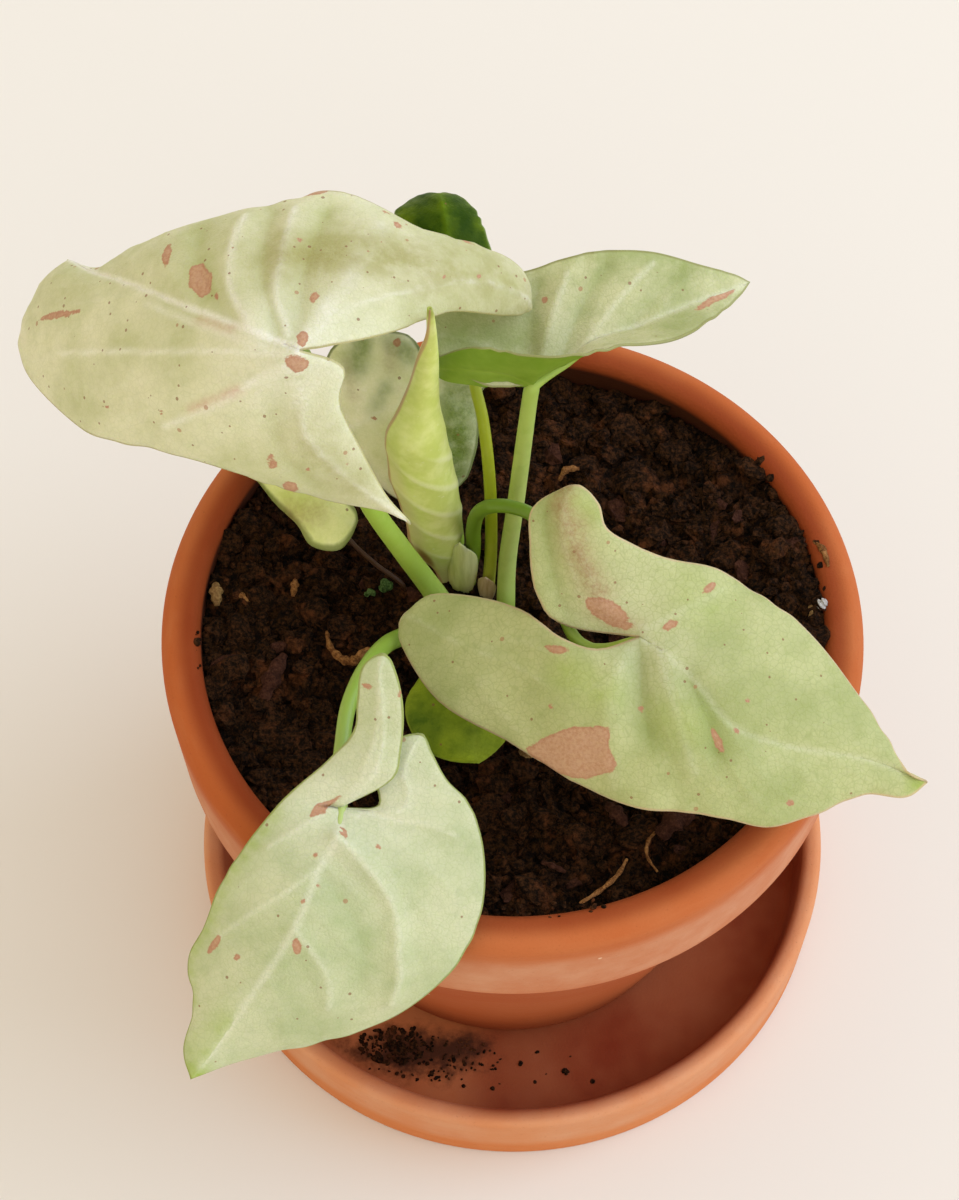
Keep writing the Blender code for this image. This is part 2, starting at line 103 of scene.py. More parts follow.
# %% Colour and node helpers
def paint(code):
    """Linear RGBA of an sRGB hex code."""
    channels = [int(code[i:i + 2], 16) / 255 for i in (0, 2, 4)]
    return [c / 12.92 if c <= 0.04045 else ((c + 0.055) / 1.055) ** 2.4 for c in channels] + [1.0]


def put(tree, socket, value):
    """Links a socket, or sets it to a value or a hex colour."""
    if isinstance(value, bpy.types.NodeSocket):
        tree.links.new(value, socket)
    else:
        is_paint = isinstance(value, str) and socket.type == "RGBA"
        socket.default_value = paint(value) if is_paint else value


class Nodes:
    """A node tree, with short ways to say what is added to it."""

    def __init__(self, tree):
        self.tree = tree

    def add(self, kind, inputs=None, out=0, **settings):
        """Adds a node with its inputs. Returns its output called out, or all of them for None."""
        made = self.tree.nodes.new(kind)
        for key, value in settings.items():
            setattr(made, key, value)
        for key, value in (inputs or {}).items():
            put(self.tree, made.inputs[key], value)
        return made.outputs if out is None else made.outputs[out]

    def math(self, operation, *values, **settings):
        return self.add("ShaderNodeMath", dict(enumerate(values)), operation=operation, **settings)

    def times(self, product, *factors):
        for factor in factors:
            product = self.math("MULTIPLY", product, factor)
        return product

    def scaled(self, value, factor, extra):
        """Value times factor plus extra."""
        return self.math("MULTIPLY_ADD", value, factor, extra)

    def vector(self, operation, *values, out=0):
        return self.add("ShaderNodeVectorMath", dict(enumerate(values)), out, operation=operation)

    def ramp(self, value, low, high, to_low=0.0, to_high=1.0, unit=1.0):
        """Smooth step of value from low to high."""
        ends = {0: value, 1: low * unit, 2: high * unit, 3: to_low, 4: to_high}
        return self.add("ShaderNodeMapRange", ends, interpolation_type="SMOOTHSTEP")

    def noise(self, place, size_mm, detail=3.0, rough=0.55):
        """Noise whose blobs are about size_mm across, on a place given in metres."""
        return self.add("ShaderNodeTexNoise", {"Vector": place, "Scale": 1 / (size_mm * MM),
                                               "Detail": detail, "Roughness": rough}, "Fac")

    def cells(self, place, size_mm, out=None, inputs=None, **settings):
        """Cell pattern about size_mm across."""
        basis = {"Vector": place, "Scale": 1 / (size_mm * MM)}
        return self.add("ShaderNodeTexVoronoi", {**basis, **(inputs or {})}, out, **settings)

    def blend(self, share, first, second):
        """Colour that goes from first to second as share goes from 0 to 1."""
        return self.add("ShaderNodeMix", {0: share, 6: first, 7: second}, 2, data_type="RGBA")


class Finish(Nodes):
    """A material being painted, from its first colour on."""

    def __init__(self, name, body):
        self.material = bpy.data.materials.new(name)
        self.material.use_nodes = True
        super().__init__(self.material.node_tree)
        self.shader = self.tree.nodes["Principled BSDF"]
        self.place = self.add("ShaderNodeTexCoord", out="Object")
        self.body = body

    def grain(self, size_mm, detail=3.0, rough=0.55):
        return self.noise(self.place, size_mm, detail, rough)

    def kept(self, name):
        """What the mesh keeps under that name."""
        return self.add("ShaderNodeAttribute", out="Fac", attribute_name=name)

    def coat(self, share, colour, strength=1):
        """Lays a colour over the body, as far as share times strength says."""
        share = share if strength == 1 else self.times(share, strength)
        self.body = self.blend(share, self.body, colour)

    def done(self, relief=None, depth_mm=0.0, gloss=0.5, **sockets):
        """Sets the shader, with a bump of depth_mm; underscores stand for spaces in the names."""
        sockets["Base_Color"] = self.body
        if relief:
            depth = {"Height": relief, "Distance": depth_mm * MM, "Strength": 1.0}
            sockets["Normal"] = self.add("ShaderNodeBump", depth)
        for key, value in sockets.items():
            put(self.tree, self.shader.inputs[key.replace("_", " ")], value)
        self.shader.inputs["Specular IOR Level"].default_value = gloss
        return self.material


def seeping(weight, path_mm, tint=(0.8, 1.0, 0.35)):
    """Sockets for the light that seeps through soft tissue."""
    return dict(Subsurface_Weight=weight, Subsurface_Scale=path_mm * MM, Subsurface_Radius=tint)


class Shape(Nodes):
    """Geometry Nodes tree that takes a mesh and the named inputs."""

    def __init__(self, name, **inputs):
        super().__init__(bpy.data.node_groups.new(name, "GeometryNodeTree"))
        new_socket = self.tree.interface.new_socket
        for way in ("OUTPUT", "INPUT"):
            new_socket("Geometry", in_out=way, socket_type="NodeSocketGeometry")
        kinds = {int: "NodeSocketInt", float: "NodeSocketFloat", str: "NodeSocketMaterial"}
        for key, default in inputs.items():
            kind = kinds[type(default)]
            socket = new_socket(key.replace("_", " "), in_out="INPUT", socket_type=kind)
            if not isinstance(default, str):
                socket.default_value = default
        self.given = self.add("NodeGroupInput", out=None)

    def moved(self, geometry, **where):
        return self.add("GeometryNodeSetPosition", {0: geometry, **where})

    def close(self, geometry, smooth=True):
        """Ends the tree in Realize Instances and Set Material."""
        if smooth:
            geometry = self.add("GeometryNodeSetShadeSmooth", {0: geometry})
        real = self.add("GeometryNodeRealizeInstances", {0: geometry})
        ends = {0: real, "Material": self.given["Material"]}
        self.add("NodeGroupOutput", {0: self.add("GeometryNodeSetMaterial", ends)}, None)
        return self.tree


# %% Mesh helpers
def link_mesh(name, mesh, *materials):
    """Object for a finished mesh, at the origin, with its materials."""
    thing = bpy.data.objects.new(name, mesh)
    for material in materials:
        mesh.materials.append(material)
    scene.collection.objects.link(thing)
    return thing


def raw_mesh(name, points, edges=(), faces=(), **fields):
    """Mesh of points in mm, with numbers kept at each point."""
    mesh = bpy.data.meshes.new(name)
    mesh.from_pydata([[c * MM for c in point] for point in points], edges, faces)
    for key, values in fields.items():
        kept = mesh.attributes.new(key, "FLOAT", "POINT")
        kept.data.foreach_set("value", np.ravel(values))
    return mesh


def line_mesh(name, points, **fields):
    links = [(i, i + 1) for i in range(len(points) - 1)]
    return raw_mesh(name, points, links, **fields)


def grid_faces(rows, columns, base=0):
    """Quads of a grid of points, the first of which has the number base."""
    return [(a, a + 1, a + columns + 1, a + columns) for row in range(rows - 1)
            for a in range(base + row * columns, base + (row + 1) * columns - 1)]


def baked(thing, name):
    """Plain mesh object that holds what thing's modifiers make; thing itself is removed."""
    graph = bpy.context.evaluated_depsgraph_get()
    mesh = bpy.data.meshes.new_from_object(thing.evaluated_get(graph), depsgraph=graph)
    mesh.name = name
    bpy.data.objects.remove(thing)
    return link_mesh(name, mesh)


def thickened(name, thing, thickness_mm, offset, lower_slot=0):
    """Bakes a thin sheet into a skin, under a new name."""
    skin = thing.modifiers.new("Skin", "SOLIDIFY")
    skin.thickness = thickness_mm * MM
    skin.offset = offset
    skin.material_offset = lower_slot
    return baked(thing, name)


def run_tree(name, mesh, tree, **inputs):
    """Runs a Geometry Nodes tree on a mesh and returns the result as a plain mesh object."""
    carrier = link_mesh(name + "_carrier", mesh)
    modifier = carrier.modifiers.new("Shape", "NODES")
    modifier.node_group = tree
    for item in tree.interface.items_tree:
        key = item.name.lower().replace(" ", "_")
        if item.in_out == "INPUT" and key in inputs:
            modifier[item.identifier] = inputs[key]
    result = baked(carrier, name)
    print(f"{name}: {len(result.data.polygons)} faces")
    return result


# %% [markdown]
# ## Floor and light
# A plain pale table top and one large, soft lamp at the right make the shadows fall to the left. A
# warm, even sky fills them in. The floor is part of the stage and not of the plant.

# %% Floor and light
scene.view_settings.view_transform = "Standard"
FLOOR_HALF = 8000                   # mm
SKY_LEFT, SKY_RIGHT = 0.82, 1.2     # how bright the room is on either side
SKY_BACK, SKY_FRONT = 0.92, 1.16
LAMP_PLACE, LAMP_TARGET = Vector((1.5, 0.15, 1.25)), Vector((0, 0, 0.1))     # metres
LAMP_SIZE, LAMP_POWER, LAMP_TINT = 1.3, 17, "C8DAFF"

corners = [(x * FLOOR_HALF, y * FLOOR_HALF, 0) for x, y in ((-1, -1), (1, -1), (1, 1), (-1, 1))]
floor = link_mesh("table_top", raw_mesh("table_top", corners, faces=[(0, 1, 2, 3)]),
                  Finish("matt_cream_paint", "E8E3D8").done(Roughness=0.9))

world = bpy.data.worlds.new("room")
world.use_nodes = True
scene.world = world
sky = Nodes(world.node_tree)
towards = sky.add("ShaderNodeTexCoord", out="Generated")
towards = sky.add("ShaderNodeSeparateXYZ", {0: towards}, None)
side = sky.ramp(towards[0], -1.0, 1.0)
brightness = sky.add("ShaderNodeMapRange", {0: side, 3: SKY_LEFT, 4: SKY_RIGHT})
brightness = sky.times(brightness, sky.ramp(towards[1], 1.0, -1.0, SKY_BACK, SKY_FRONT))
background = sky.tree.nodes["Background"].inputs
put(sky.tree, background["Color"], sky.blend(side, "FFF0D8", "F8FBFF"))
put(sky.tree, background["Strength"], brightness)

lamp_data = bpy.data.lights.new("window_right", "AREA")
lamp_data.size = LAMP_SIZE
lamp_data.energy = LAMP_POWER
lamp_data.color = paint(LAMP_TINT)[:3]
lamp = bpy.data.objects.new("window_right", lamp_data)
lamp.location = LAMP_PLACE
lamp.rotation_euler = (LAMP_PLACE - LAMP_TARGET).to_track_quat("Z", "Y").to_euler()
scene.collection.objects.link(lamp)
print("lamp:", lamp.name, "with", LAMP_POWER, "watts")

# %% [markdown]
# ## Fired clay
# Terracotta is earthenware: iron-rich clay, pressed or thrown on a wheel and fired once, unglazed.
# It is dry and matt, a little blotchy, with turning lines that run round it, pinholes, and pale
# lime bloom where water has dried. An image texture could show all that, but a few layers of noise
# do it at the right scale from any side: one stretched flat for the turning lines, one for the
# blotches, and one of fine grit for the bump. IOR 1.5 and a roughness near 0.8 are usual for it.

# %% Terracotta
SPILL_HEIGHT = 8.0              # no earth lies on the saucer above this, mm
SHADED_WALL_RADIUS = 57.8               # the collar's inner wall is painted dark out to here, as shade with some damp, mm
SHADED_WALL_FOOT, SHADED_WALL_TOP = 96, 110.2   # heights between which it is, mm
DAMP_SHADE_FADE, FOOT_FADE = 16, 5    # mm over which the damp and painted shade fade to the left, and above the foot


def terracotta(name, dry, pale, damp_and_shade, damp_radius, damp_shade_above, damp_shade_side, bloom, damp_shaded_foot,
               least_damp_shade, smudge=None):
    """Unglazed fired clay. Inside a given radius, above a given height and towards the right of a
    given x it darkens to a damp colour that is also painted shade, and a little below a given foot
    height it darkens as painted shade under the collar, with some damp; lime bloom lies in a band
    of heights. A smudge of earth has a middle and half sizes."""
    clay = Finish(name, dry)
    squash = {"Vector": clay.place, "Scale": (0.12, 0.12, 1.0)}
    lines = clay.noise(clay.add("ShaderNodeMapping", squash), 1.7, 4)
    clouds, grit = clay.grain(26), clay.grain(0.5, 2)
    x, y, height = clay.add("ShaderNodeSeparateXYZ", {0: clay.place}, None)
    level = clay.add("ShaderNodeCombineXYZ", {0: x, 1: y})
    radius = clay.vector("LENGTH", level, out=1)
    clay.coat(clay.ramp(clouds, 0.35, 0.68), pale, 0.45)
    clay.coat(clay.ramp(lines, 0.45, 0.7), pale, 0.3)
    low, full, fading, top = bloom
    chalk = clay.times(clay.ramp(height, low, full, unit=MM),
                       clay.ramp(height, top, fading, unit=MM))
    patchy = clay.ramp(clay.grain(12, 4, 0.6), 0.3, 0.8, 0.25, 0.6)
    clay.coat(clay.times(chalk, patchy), "D6A582")
    # Damp and painted shade: darker inside the rim, and on the saucer's floor more so to the right,
    # where the lip's shadow is painted.
    inner = clay.times(clay.ramp(radius, damp_radius + 2.5, damp_radius - 1, unit=MM),
                       clay.ramp(height, damp_shade_above - 1.5, damp_shade_above + 1.5, unit=MM))
    ragged_x = clay.scaled(clouds, DAMP_SHADE_FADE * MM, x)
    rightward = clay.ramp(ragged_x, damp_shade_side, damp_shade_side + DAMP_SHADE_FADE, least_damp_shade, unit=MM)
    inner = clay.times(inner, rightward)
    damp_and_shade_share = clay.times(inner, clay.ramp(clouds, 0.25, 0.7, 1.0, 0.75))
    clay.coat(damp_and_shade_share, damp_and_shade)
    # Painted shade under the collar, with some damp, low on the pot's wall.
    clay.coat(clay.ramp(height, damp_shaded_foot, damp_shaded_foot - FOOT_FADE, 0.0, 0.55, MM), damp_and_shade)
    if smudge:
        middle, half_sizes = smudge
        patch = {"Vector": level, "Location": [c * MM for c in middle] + [0],
                 "Scale": [h * MM for h in half_sizes] + [1]}
        spread = clay.add("ShaderNodeMapping", patch, vector_type="TEXTURE")
        far = clay.vector("LENGTH", spread, out=1)
        dust = clay.ramp(clay.scaled(clay.grain(5.0, 5, 0.7), -1.6, far), 0.25, -0.5, 0.0, 0.92)
        low_down = clay.ramp(height, SPILL_HEIGHT + 2, SPILL_HEIGHT, unit=MM)
        clay.coat(clay.times(dust, low_down), "2E1408")
    clay.coat(clay.ramp(grit, 0.36, 0.22), "7E3E1E", 0.3)
    specks = clay.cells(clay.place, 8)
    pick = clay.add("ShaderNodeSeparateColor", {0: specks["Color"]})
    rare = clay.math("GREATER_THAN", pick, 0.9)
    clay.coat(clay.times(clay.ramp(specks["Distance"], 0.06, 0.035), rare), "E9C6A4", 0.75)
    # Painted shade, with some damp, on the collar's inner wall above the soil.
    wall_shade = clay.times(clay.ramp(radius, SHADED_WALL_RADIUS + 1, SHADED_WALL_RADIUS, unit=MM),
                     clay.ramp(height, SHADED_WALL_TOP + 1.6, SHADED_WALL_TOP, unit=MM))
    wall_shade = clay.times(wall_shade, clay.ramp(height, SHADED_WALL_FOOT, SHADED_WALL_FOOT + 4, unit=MM))
    clay.coat(wall_shade, "3A1A09", 0.92)
    relief = clay.math("ADD", clay.times(lines, 0.7), clay.times(grit, 0.45))
    return clay.done(relief, 0.2, gloss=0.2, IOR=1.5, Roughness=clay.scaled(damp_and_shade_share, -0.1, 0.84))


pot_clay = terracotta("terracotta_pot", "B85E2C", "C27444", "8E3A12", 60.5, 97, -90,
                      (87, 92, 103, 109), 90, 0.25)
saucer_clay = terracotta("terracotta_saucer", "CF7A42", "D8915C", "762000", 62.0, 0, -8,
                         (4, 9, 18, 24), -9, 0.45, smudge=((-19.0, -44.5), (19.0, 7.0)))
print("clay finishes:", pot_clay.name, saucer_clay.name)

# %% [markdown]
# ## Pot and saucer
# Both are turned shapes: one profile spun round an axis. A Screw modifier could do it. Geometry
# Nodes show the rule itself: a grid has one row for each step round and one column for each profile
# point, and every grid point is moved to radius times cosine, radius times sine, and height. The
# profile has round fillets, many more steps than the plain solid, and a slight wobble as hand-
# finished clay has.

# %% Profiles of the clay ware
def rounded_profile(corners, steps=8):
    """Profile through (radius, height, fillet) corners in mm, with each fillet as an arc."""
    profile = []
    for index, (radius, height, fillet) in enumerate(corners):
        corner = np.array([radius, height], float)
        if fillet == 0:
            profile.append(corner)
            continue
        before = np.array(corners[index - 1][:2]) - corner
        after = np.array(corners[(index + 1) % len(corners)][:2]) - corner
        before /= np.linalg.norm(before)
        after /= np.linalg.norm(after)
        half_angle = math.acos(np.clip(before @ after, -1, 1)) / 2
        reach = fillet / math.tan(half_angle)
        bisector = (before + after) / np.linalg.norm(before + after)
        centre = corner + bisector * fillet / math.sin(half_angle)
        start, end = corner + before * reach - centre, corner + after * reach - centre
        turn = math.atan2(start[0] * end[1] - start[1] * end[0], start @ end)
        for angle in (turn * step / steps for step in range(steps + 1)):
            sine, cosine = math.sin(angle), math.cos(angle)
            profile.append(centre + np.array([start[0] * cosine - start[1] * sine,
                                              start[0] * sine + start[1] * cosine]))
    return profile


def subdivided(profile, longest=4.0):
    """The profile with extra points, so that no stretch is longer than that many millimetres."""
    points = [profile[0]]
    for point in profile[1:]:
        start = points[-1]
        pieces = max(1, math.ceil(np.linalg.norm(point - start) / longest))
        points += [start + (point - start) * (k + 1) / pieces for k in range(pieces)]
    return points


_, saucer_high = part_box("saucer")
pot_low, pot_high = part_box("pot")
SAUCER_SHIFT = 0.8                  # the saucer stands this far off the pot's middle, mm
SAUCER_TOP, POT_TOP, POT_BASE = (c.z / MM for c in (saucer_high, pot_high, pot_low))
SAUCER_FLOOR = POT_BASE - 0.3
COLLAR_FOOT = POT_TOP - 24
saucer_profile = rounded_profile([
    (0.01, SAUCER_FLOOR, 0), (59.5, SAUCER_FLOOR, 3.0), (61.0, SAUCER_TOP, 1.6),
    (65.0, SAUCER_TOP, 1.6), (64.3, 0, 0.8), (0.01, 0, 0)])
pot_profile = rounded_profile([
    (57.5, POT_TOP, 2.4), (65.0, POT_TOP, 3.2), (63.8, COLLAR_FOOT, 1.4),
    (60.0, COLLAR_FOOT - 1.0, 1.0), (40.0, POT_BASE, 1.0), (6.0, POT_BASE, 0),
    (6.0, POT_BASE + 8, 0), (35.5, POT_BASE + 8, 4.0), (54.5, COLLAR_FOOT - 6, 6.0),
    (57.5, COLLAR_FOOT + 6, 6.0)])
pot_profile.append(pot_profile[0])
print("profile points:", len(saucer_profile), len(pot_profile))


# %% Tree that turns a profile
def turned_tree():
    wheel = Shape("Turned clay", Steps=192, Wobble=0.1, Material="")
    profile = wheel.given["Geometry"]
    count = wheel.add("GeometryNodeAttributeDomainSize", {0: profile}, "Point Count",
                      component="MESH")
    rows = wheel.math("ADD", wheel.given["Steps"], 1.0)
    sizes = {"Size X": 1.0, "Size Y": 1.0, "Vertices X": rows, "Vertices Y": count}
    place = wheel.add("GeometryNodeInputPosition")
    x, y, _ = wheel.add("ShaderNodeSeparateXYZ", {0: place}, None)
    column = wheel.times(wheel.math("ADD", y, 0.5), wheel.math("SUBTRACT", count, 1.0))
    picked = {0: profile, "Value": place, "Index": wheel.math("ROUND", column)}
    point = wheel.add("GeometryNodeSampleIndex", picked, data_type="FLOAT_VECTOR")
    radius, _, height = wheel.add("ShaderNodeSeparateXYZ", {0: point}, None)
    angle = wheel.times(wheel.math("ADD", x, 0.5), 2 * math.pi)
    cosine, sine = wheel.math("COSINE", angle), wheel.math("SINE", angle)
    unit = wheel.add("ShaderNodeCombineXYZ", {0: cosine, 1: sine, 2: wheel.times(height, 30.0)})
    wave = wheel.add("ShaderNodeTexNoise", {"Vector": unit, "Scale": 1.3, "Detail": 1.0}, "Fac")
    wobble = wheel.times(wheel.math("SUBTRACT", wave, 1.0), 0.002, wheel.given["Wobble"])
    radius = wheel.math("ADD", radius, wobble)
    spot = {0: wheel.times(radius, cosine), 1: wheel.times(radius, sine), 2: height}
    spun = wheel.moved(wheel.add("GeometryNodeMeshGrid", sizes),
                       Position=wheel.add("ShaderNodeCombineXYZ", spot))
    return wheel.close(wheel.add("GeometryNodeMergeByDistance", {0: spun, "Distance": 0.00004}))


def turned_ware(name, profile, clay, shift=0.0):
    line = line_mesh(name + "_profile", [(x, 0, z) for x, z in subdivided(profile)])
    ware = run_tree(name, line, turner, steps=192, wobble=0.12, material=clay)
    work = bmesh.new()
    work.from_mesh(ware.data)
    bmesh.ops.recalc_face_normals(work, faces=work.faces)
    bmesh.ops.translate(work, verts=work.verts, vec=(shift * MM, 0, 0))
    work.to_mesh(ware.data)
    work.free()
    return ware


turner = turned_tree()
saucer = turned_ware("clay_saucer", saucer_profile, saucer_clay, SAUCER_SHIFT)
pot = turned_ware("clay_pot", pot_profile, pot_clay)
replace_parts(saucer, "saucer")
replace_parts(pot, "pot")

# %% [markdown]
# ## Potting soil
# Peat-based mix is nearly black when damp, with reddish-brown fibre lumps and gaps between the
# clods. An image texture would fix the lumps to one view, so the surface is really lumpy here: a
# fine grid is lifted by layers of noise and by a cell pattern that makes round clods with cracks
# between them. Loose crumbs are scattered over it by a second tree, with a fixed seed.

# %% Soil materials
def earthy(name, dark, brown, red, grit_mm):
    """Damp peat or bark: dark, matt, with brown fibre, a few reddish lumps and painted shade in the
    hollows.
    """
    earth = Finish(name, dark)
    fine = earth.grain(grit_mm, 3, 0.75)
    earth.coat(earth.ramp(fine, 0.38, 0.7), brown)
    earth.coat(earth.ramp(earth.grain(5.0, 5, 0.7), 0.52, 0.7), red, 0.8)
    # Painted shade: nearly black where the surface lies low, between the clods.
    earth.coat(earth.ramp(earth.kept("lift"), -0.4, -2.6, 0.0, 0.9), "040201")
    return earth.done(fine, 1.2, gloss=0.1, Roughness=0.95)


peat = earthy("damp_peat", "0B0502", "3F2610", "5A3218", 1.4)
crumb_peat = earthy("loose_peat_crumbs", "150B04", "4A2D17", "6C3E22", 0.9)
bark = earthy("reddish_bark_chips", "3A2016", "553426", "6C4432", 0.9)
BANKS = (("Bank right", 15), ("Bank left", 172))     # bearings at which the soil is heaped


# %% Trees for the soil and its crumbs
def soil_tree():
    soil = Shape("Soil surface", Radius=0.058, Level=0.106, Vertices=200, Lumps=1.0,
                 Bank_right=0.004, Bank_left=0.002, Material="")
    rim, count = soil.given["Radius"], soil.given["Vertices"]
    wide = soil.times(rim, 2.0)
    sizes = {"Size X": wide, "Size Y": wide, "Vertices X": count, "Vertices Y": count}
    place = soil.add("GeometryNodeInputPosition")
    reach = soil.vector("LENGTH", place, out=1)
    outside = soil.add("FunctionNodeCompare", {0: reach, 1: rim}, operation="GREATER_THAN")
    disc = {0: soil.add("GeometryNodeMeshGrid", sizes), 1: outside}
    clods = soil.cells(place, 5.5, "Distance", {"Smoothness": 0.35}, feature="SMOOTH_F1")
    rubble = soil.math("SUBTRACT", soil.noise(place, 3.4, 5, 0.78), 0.5)
    high = soil.scaled(soil.math("SUBTRACT", 0.4, clods), 3.0, soil.times(rubble, 8.0))
    noted = {0: soil.add("GeometryNodeDeleteGeometry", disc), "Name": "lift", "Value": high}
    swell = soil.math("SUBTRACT", soil.noise(place, 16.0, 2), 0.5)
    high = soil.times(soil.scaled(swell, 5.0, high), MM, soil.given["Lumps"])
    for bank, bearing in BANKS:
        heading = (math.cos(math.radians(bearing)), math.sin(math.radians(bearing)), 0.0)
        way = soil.vector("DOT_PRODUCT", place, heading, out="Value")
        share = soil.ramp(soil.math("DIVIDE", way, rim), 0.6, 1.0)
        high = soil.scaled(share, soil.given[bank], high)
    lift = soil.add("ShaderNodeCombineXYZ", {2: soil.math("ADD", high, soil.given["Level"])})
    stored = soil.add("GeometryNodeStoreNamedAttribute", noted, data_type="FLOAT", domain="POINT")
    return soil.close(soil.moved(stored, Offset=lift))


def crumb_tree():
    crumb = Shape("Scattered crumbs", Per_cm2=20.0, Smallest=0.4, Largest=1.6, Flatness=0.7,
                  Roughness=0.5, Length=1.0, Seed=1, Material="")
    ground, seed = crumb.given["Geometry"], crumb.given["Seed"]
    per_m2 = crumb.times(crumb.given["Per cm2"], 10000.0)
    points = crumb.add("GeometryNodeDistributePointsOnFaces",
                       {0: ground, "Density": per_m2, "Seed": seed})
    cube = crumb.add("GeometryNodeMeshCube", {"Size": (1.0, 1.0, 1.0), "Vertices X": 3,
                                              "Vertices Y": 3, "Vertices Z": 3})
    place = crumb.add("GeometryNodeInputPosition")
    ball = crumb.moved(cube, Position=crumb.vector("NORMALIZE", place))
    chance = crumb.add("FunctionNodeRandomValue", {2: 0.0, 3: 1.0, "Seed": seed}, 1)
    smallest = crumb.given["Smallest"]
    spread = crumb.math("SUBTRACT", crumb.given["Largest"], smallest)
    size = crumb.scaled(crumb.math("POWER", chance, 3.0), spread, smallest)
    size = crumb.times(size, 0.5 * MM)
    scale = {0: crumb.times(size, crumb.given["Length"]), 1: size,
             2: crumb.times(size, crumb.given["Flatness"])}
    spin = {0: (-0.5, -0.5, 0.0), 1: (0.5, 0.5, 6.28), "Seed": 7}
    lumps = crumb.add("GeometryNodeInstanceOnPoints", {
        "Points": points, "Instance": ball, "Scale": crumb.add("ShaderNodeCombineXYZ", scale),
        "Rotation": crumb.add("FunctionNodeRandomValue", spin, data_type="FLOAT_VECTOR")})
    real = crumb.add("GeometryNodeRealizeInstances", {0: lumps})
    ragged = {"Vector": place, "Scale": 1 / (1.6 * MM), "Detail": 3.0}
    jitter = crumb.add("ShaderNodeTexNoise", ragged, "Color")
    push = {0: crumb.vector("SUBTRACT", jitter, (0.5, 0.5, 0.5)),
            "Scale": crumb.times(crumb.given["Roughness"], 2 * MM)}
    push = crumb.add("ShaderNodeVectorMath", push, operation="SCALE")
    return crumb.close(crumb.moved(real, Offset=push), smooth=False)


# %% Soil and crumbs
SOIL_LEVEL, SOIL_RADIUS, SOIL_THICKNESS = 106.0, 57.4, 5        # mm
BANK_RIGHT, BANK_LEFT = 5.5, 3.0        # how high the soil is heaped at the rim, mm
surface = run_tree("potting_soil_surface", bpy.data.meshes.new("soil_seed"), soil_tree(),
                   radius=SOIL_RADIUS * MM, level=SOIL_LEVEL * MM, vertices=230, lumps=1.0,
                   bank_right=BANK_RIGHT * MM, bank_left=BANK_LEFT * MM, material=peat)
crumbs = crumb_tree()


def scatter(title, ground, material, *settings):
    """Crumbs on a mesh, with settings in the order of the names here; sizes are in mm."""
    names = ("per_cm2", "smallest", "largest", "flatness", "roughness", "length", "seed")
    run_tree(title, ground, crumbs, material=material, **dict(zip(names, settings)))


LITTER = [     # piece, material, and the settings named above
    ("soil_clods", crumb_peat, 5.0, 2.5, 6.5, 0.6, 2.2, 1.25, 3),
    ("loose_crumbs", crumb_peat, 28.0, 0.6, 2.6, 0.8, 0.8, 1.1, 5),
    ("peat_fibres", crumb_peat, 4.0, 0.5, 1.1, 0.5, 0.5, 5.5, 9),
    ("bark_chips", bark, 0.45, 2.0, 4.6, 0.45, 1.4, 1.8, 16),
]
for title, material, *settings in LITTER:
    scatter(title, surface.data.copy(), material, *settings)
soil = thickened("potting_soil_lump", surface, SOIL_THICKNESS, -1)
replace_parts(soil, "potting_soil")

# %% [markdown]
# ## Leaf blades
# An arrowhead leaf has a midrib, two back lobes with a rib each, side veins that sweep towards the
# tip, and one vein that follows the margin. Each blade here is a loft between its midrib and its
# outline, drawn in the leaf's own frame: x along the midrib, y to the left, z out of the upper
# face. It could be sculpted or cut from an image, but a loft from few named points can be read and
# changed. It is some ten times finer than the plain solid. A lobe is given by its tip and then by
# pairs of points on its two edges; the outer edge goes on from there to the tip of the leaf. Veins
# are drawn as paths in (along, across): along runs from -1 at the back lobe's tip through 0 at the
# stalk to 1 at the leaf's tip, and across from 0 at the midrib to 1 at the outer edge. They raise
# or sink the blade and are kept as distances in mm, which the material reads.

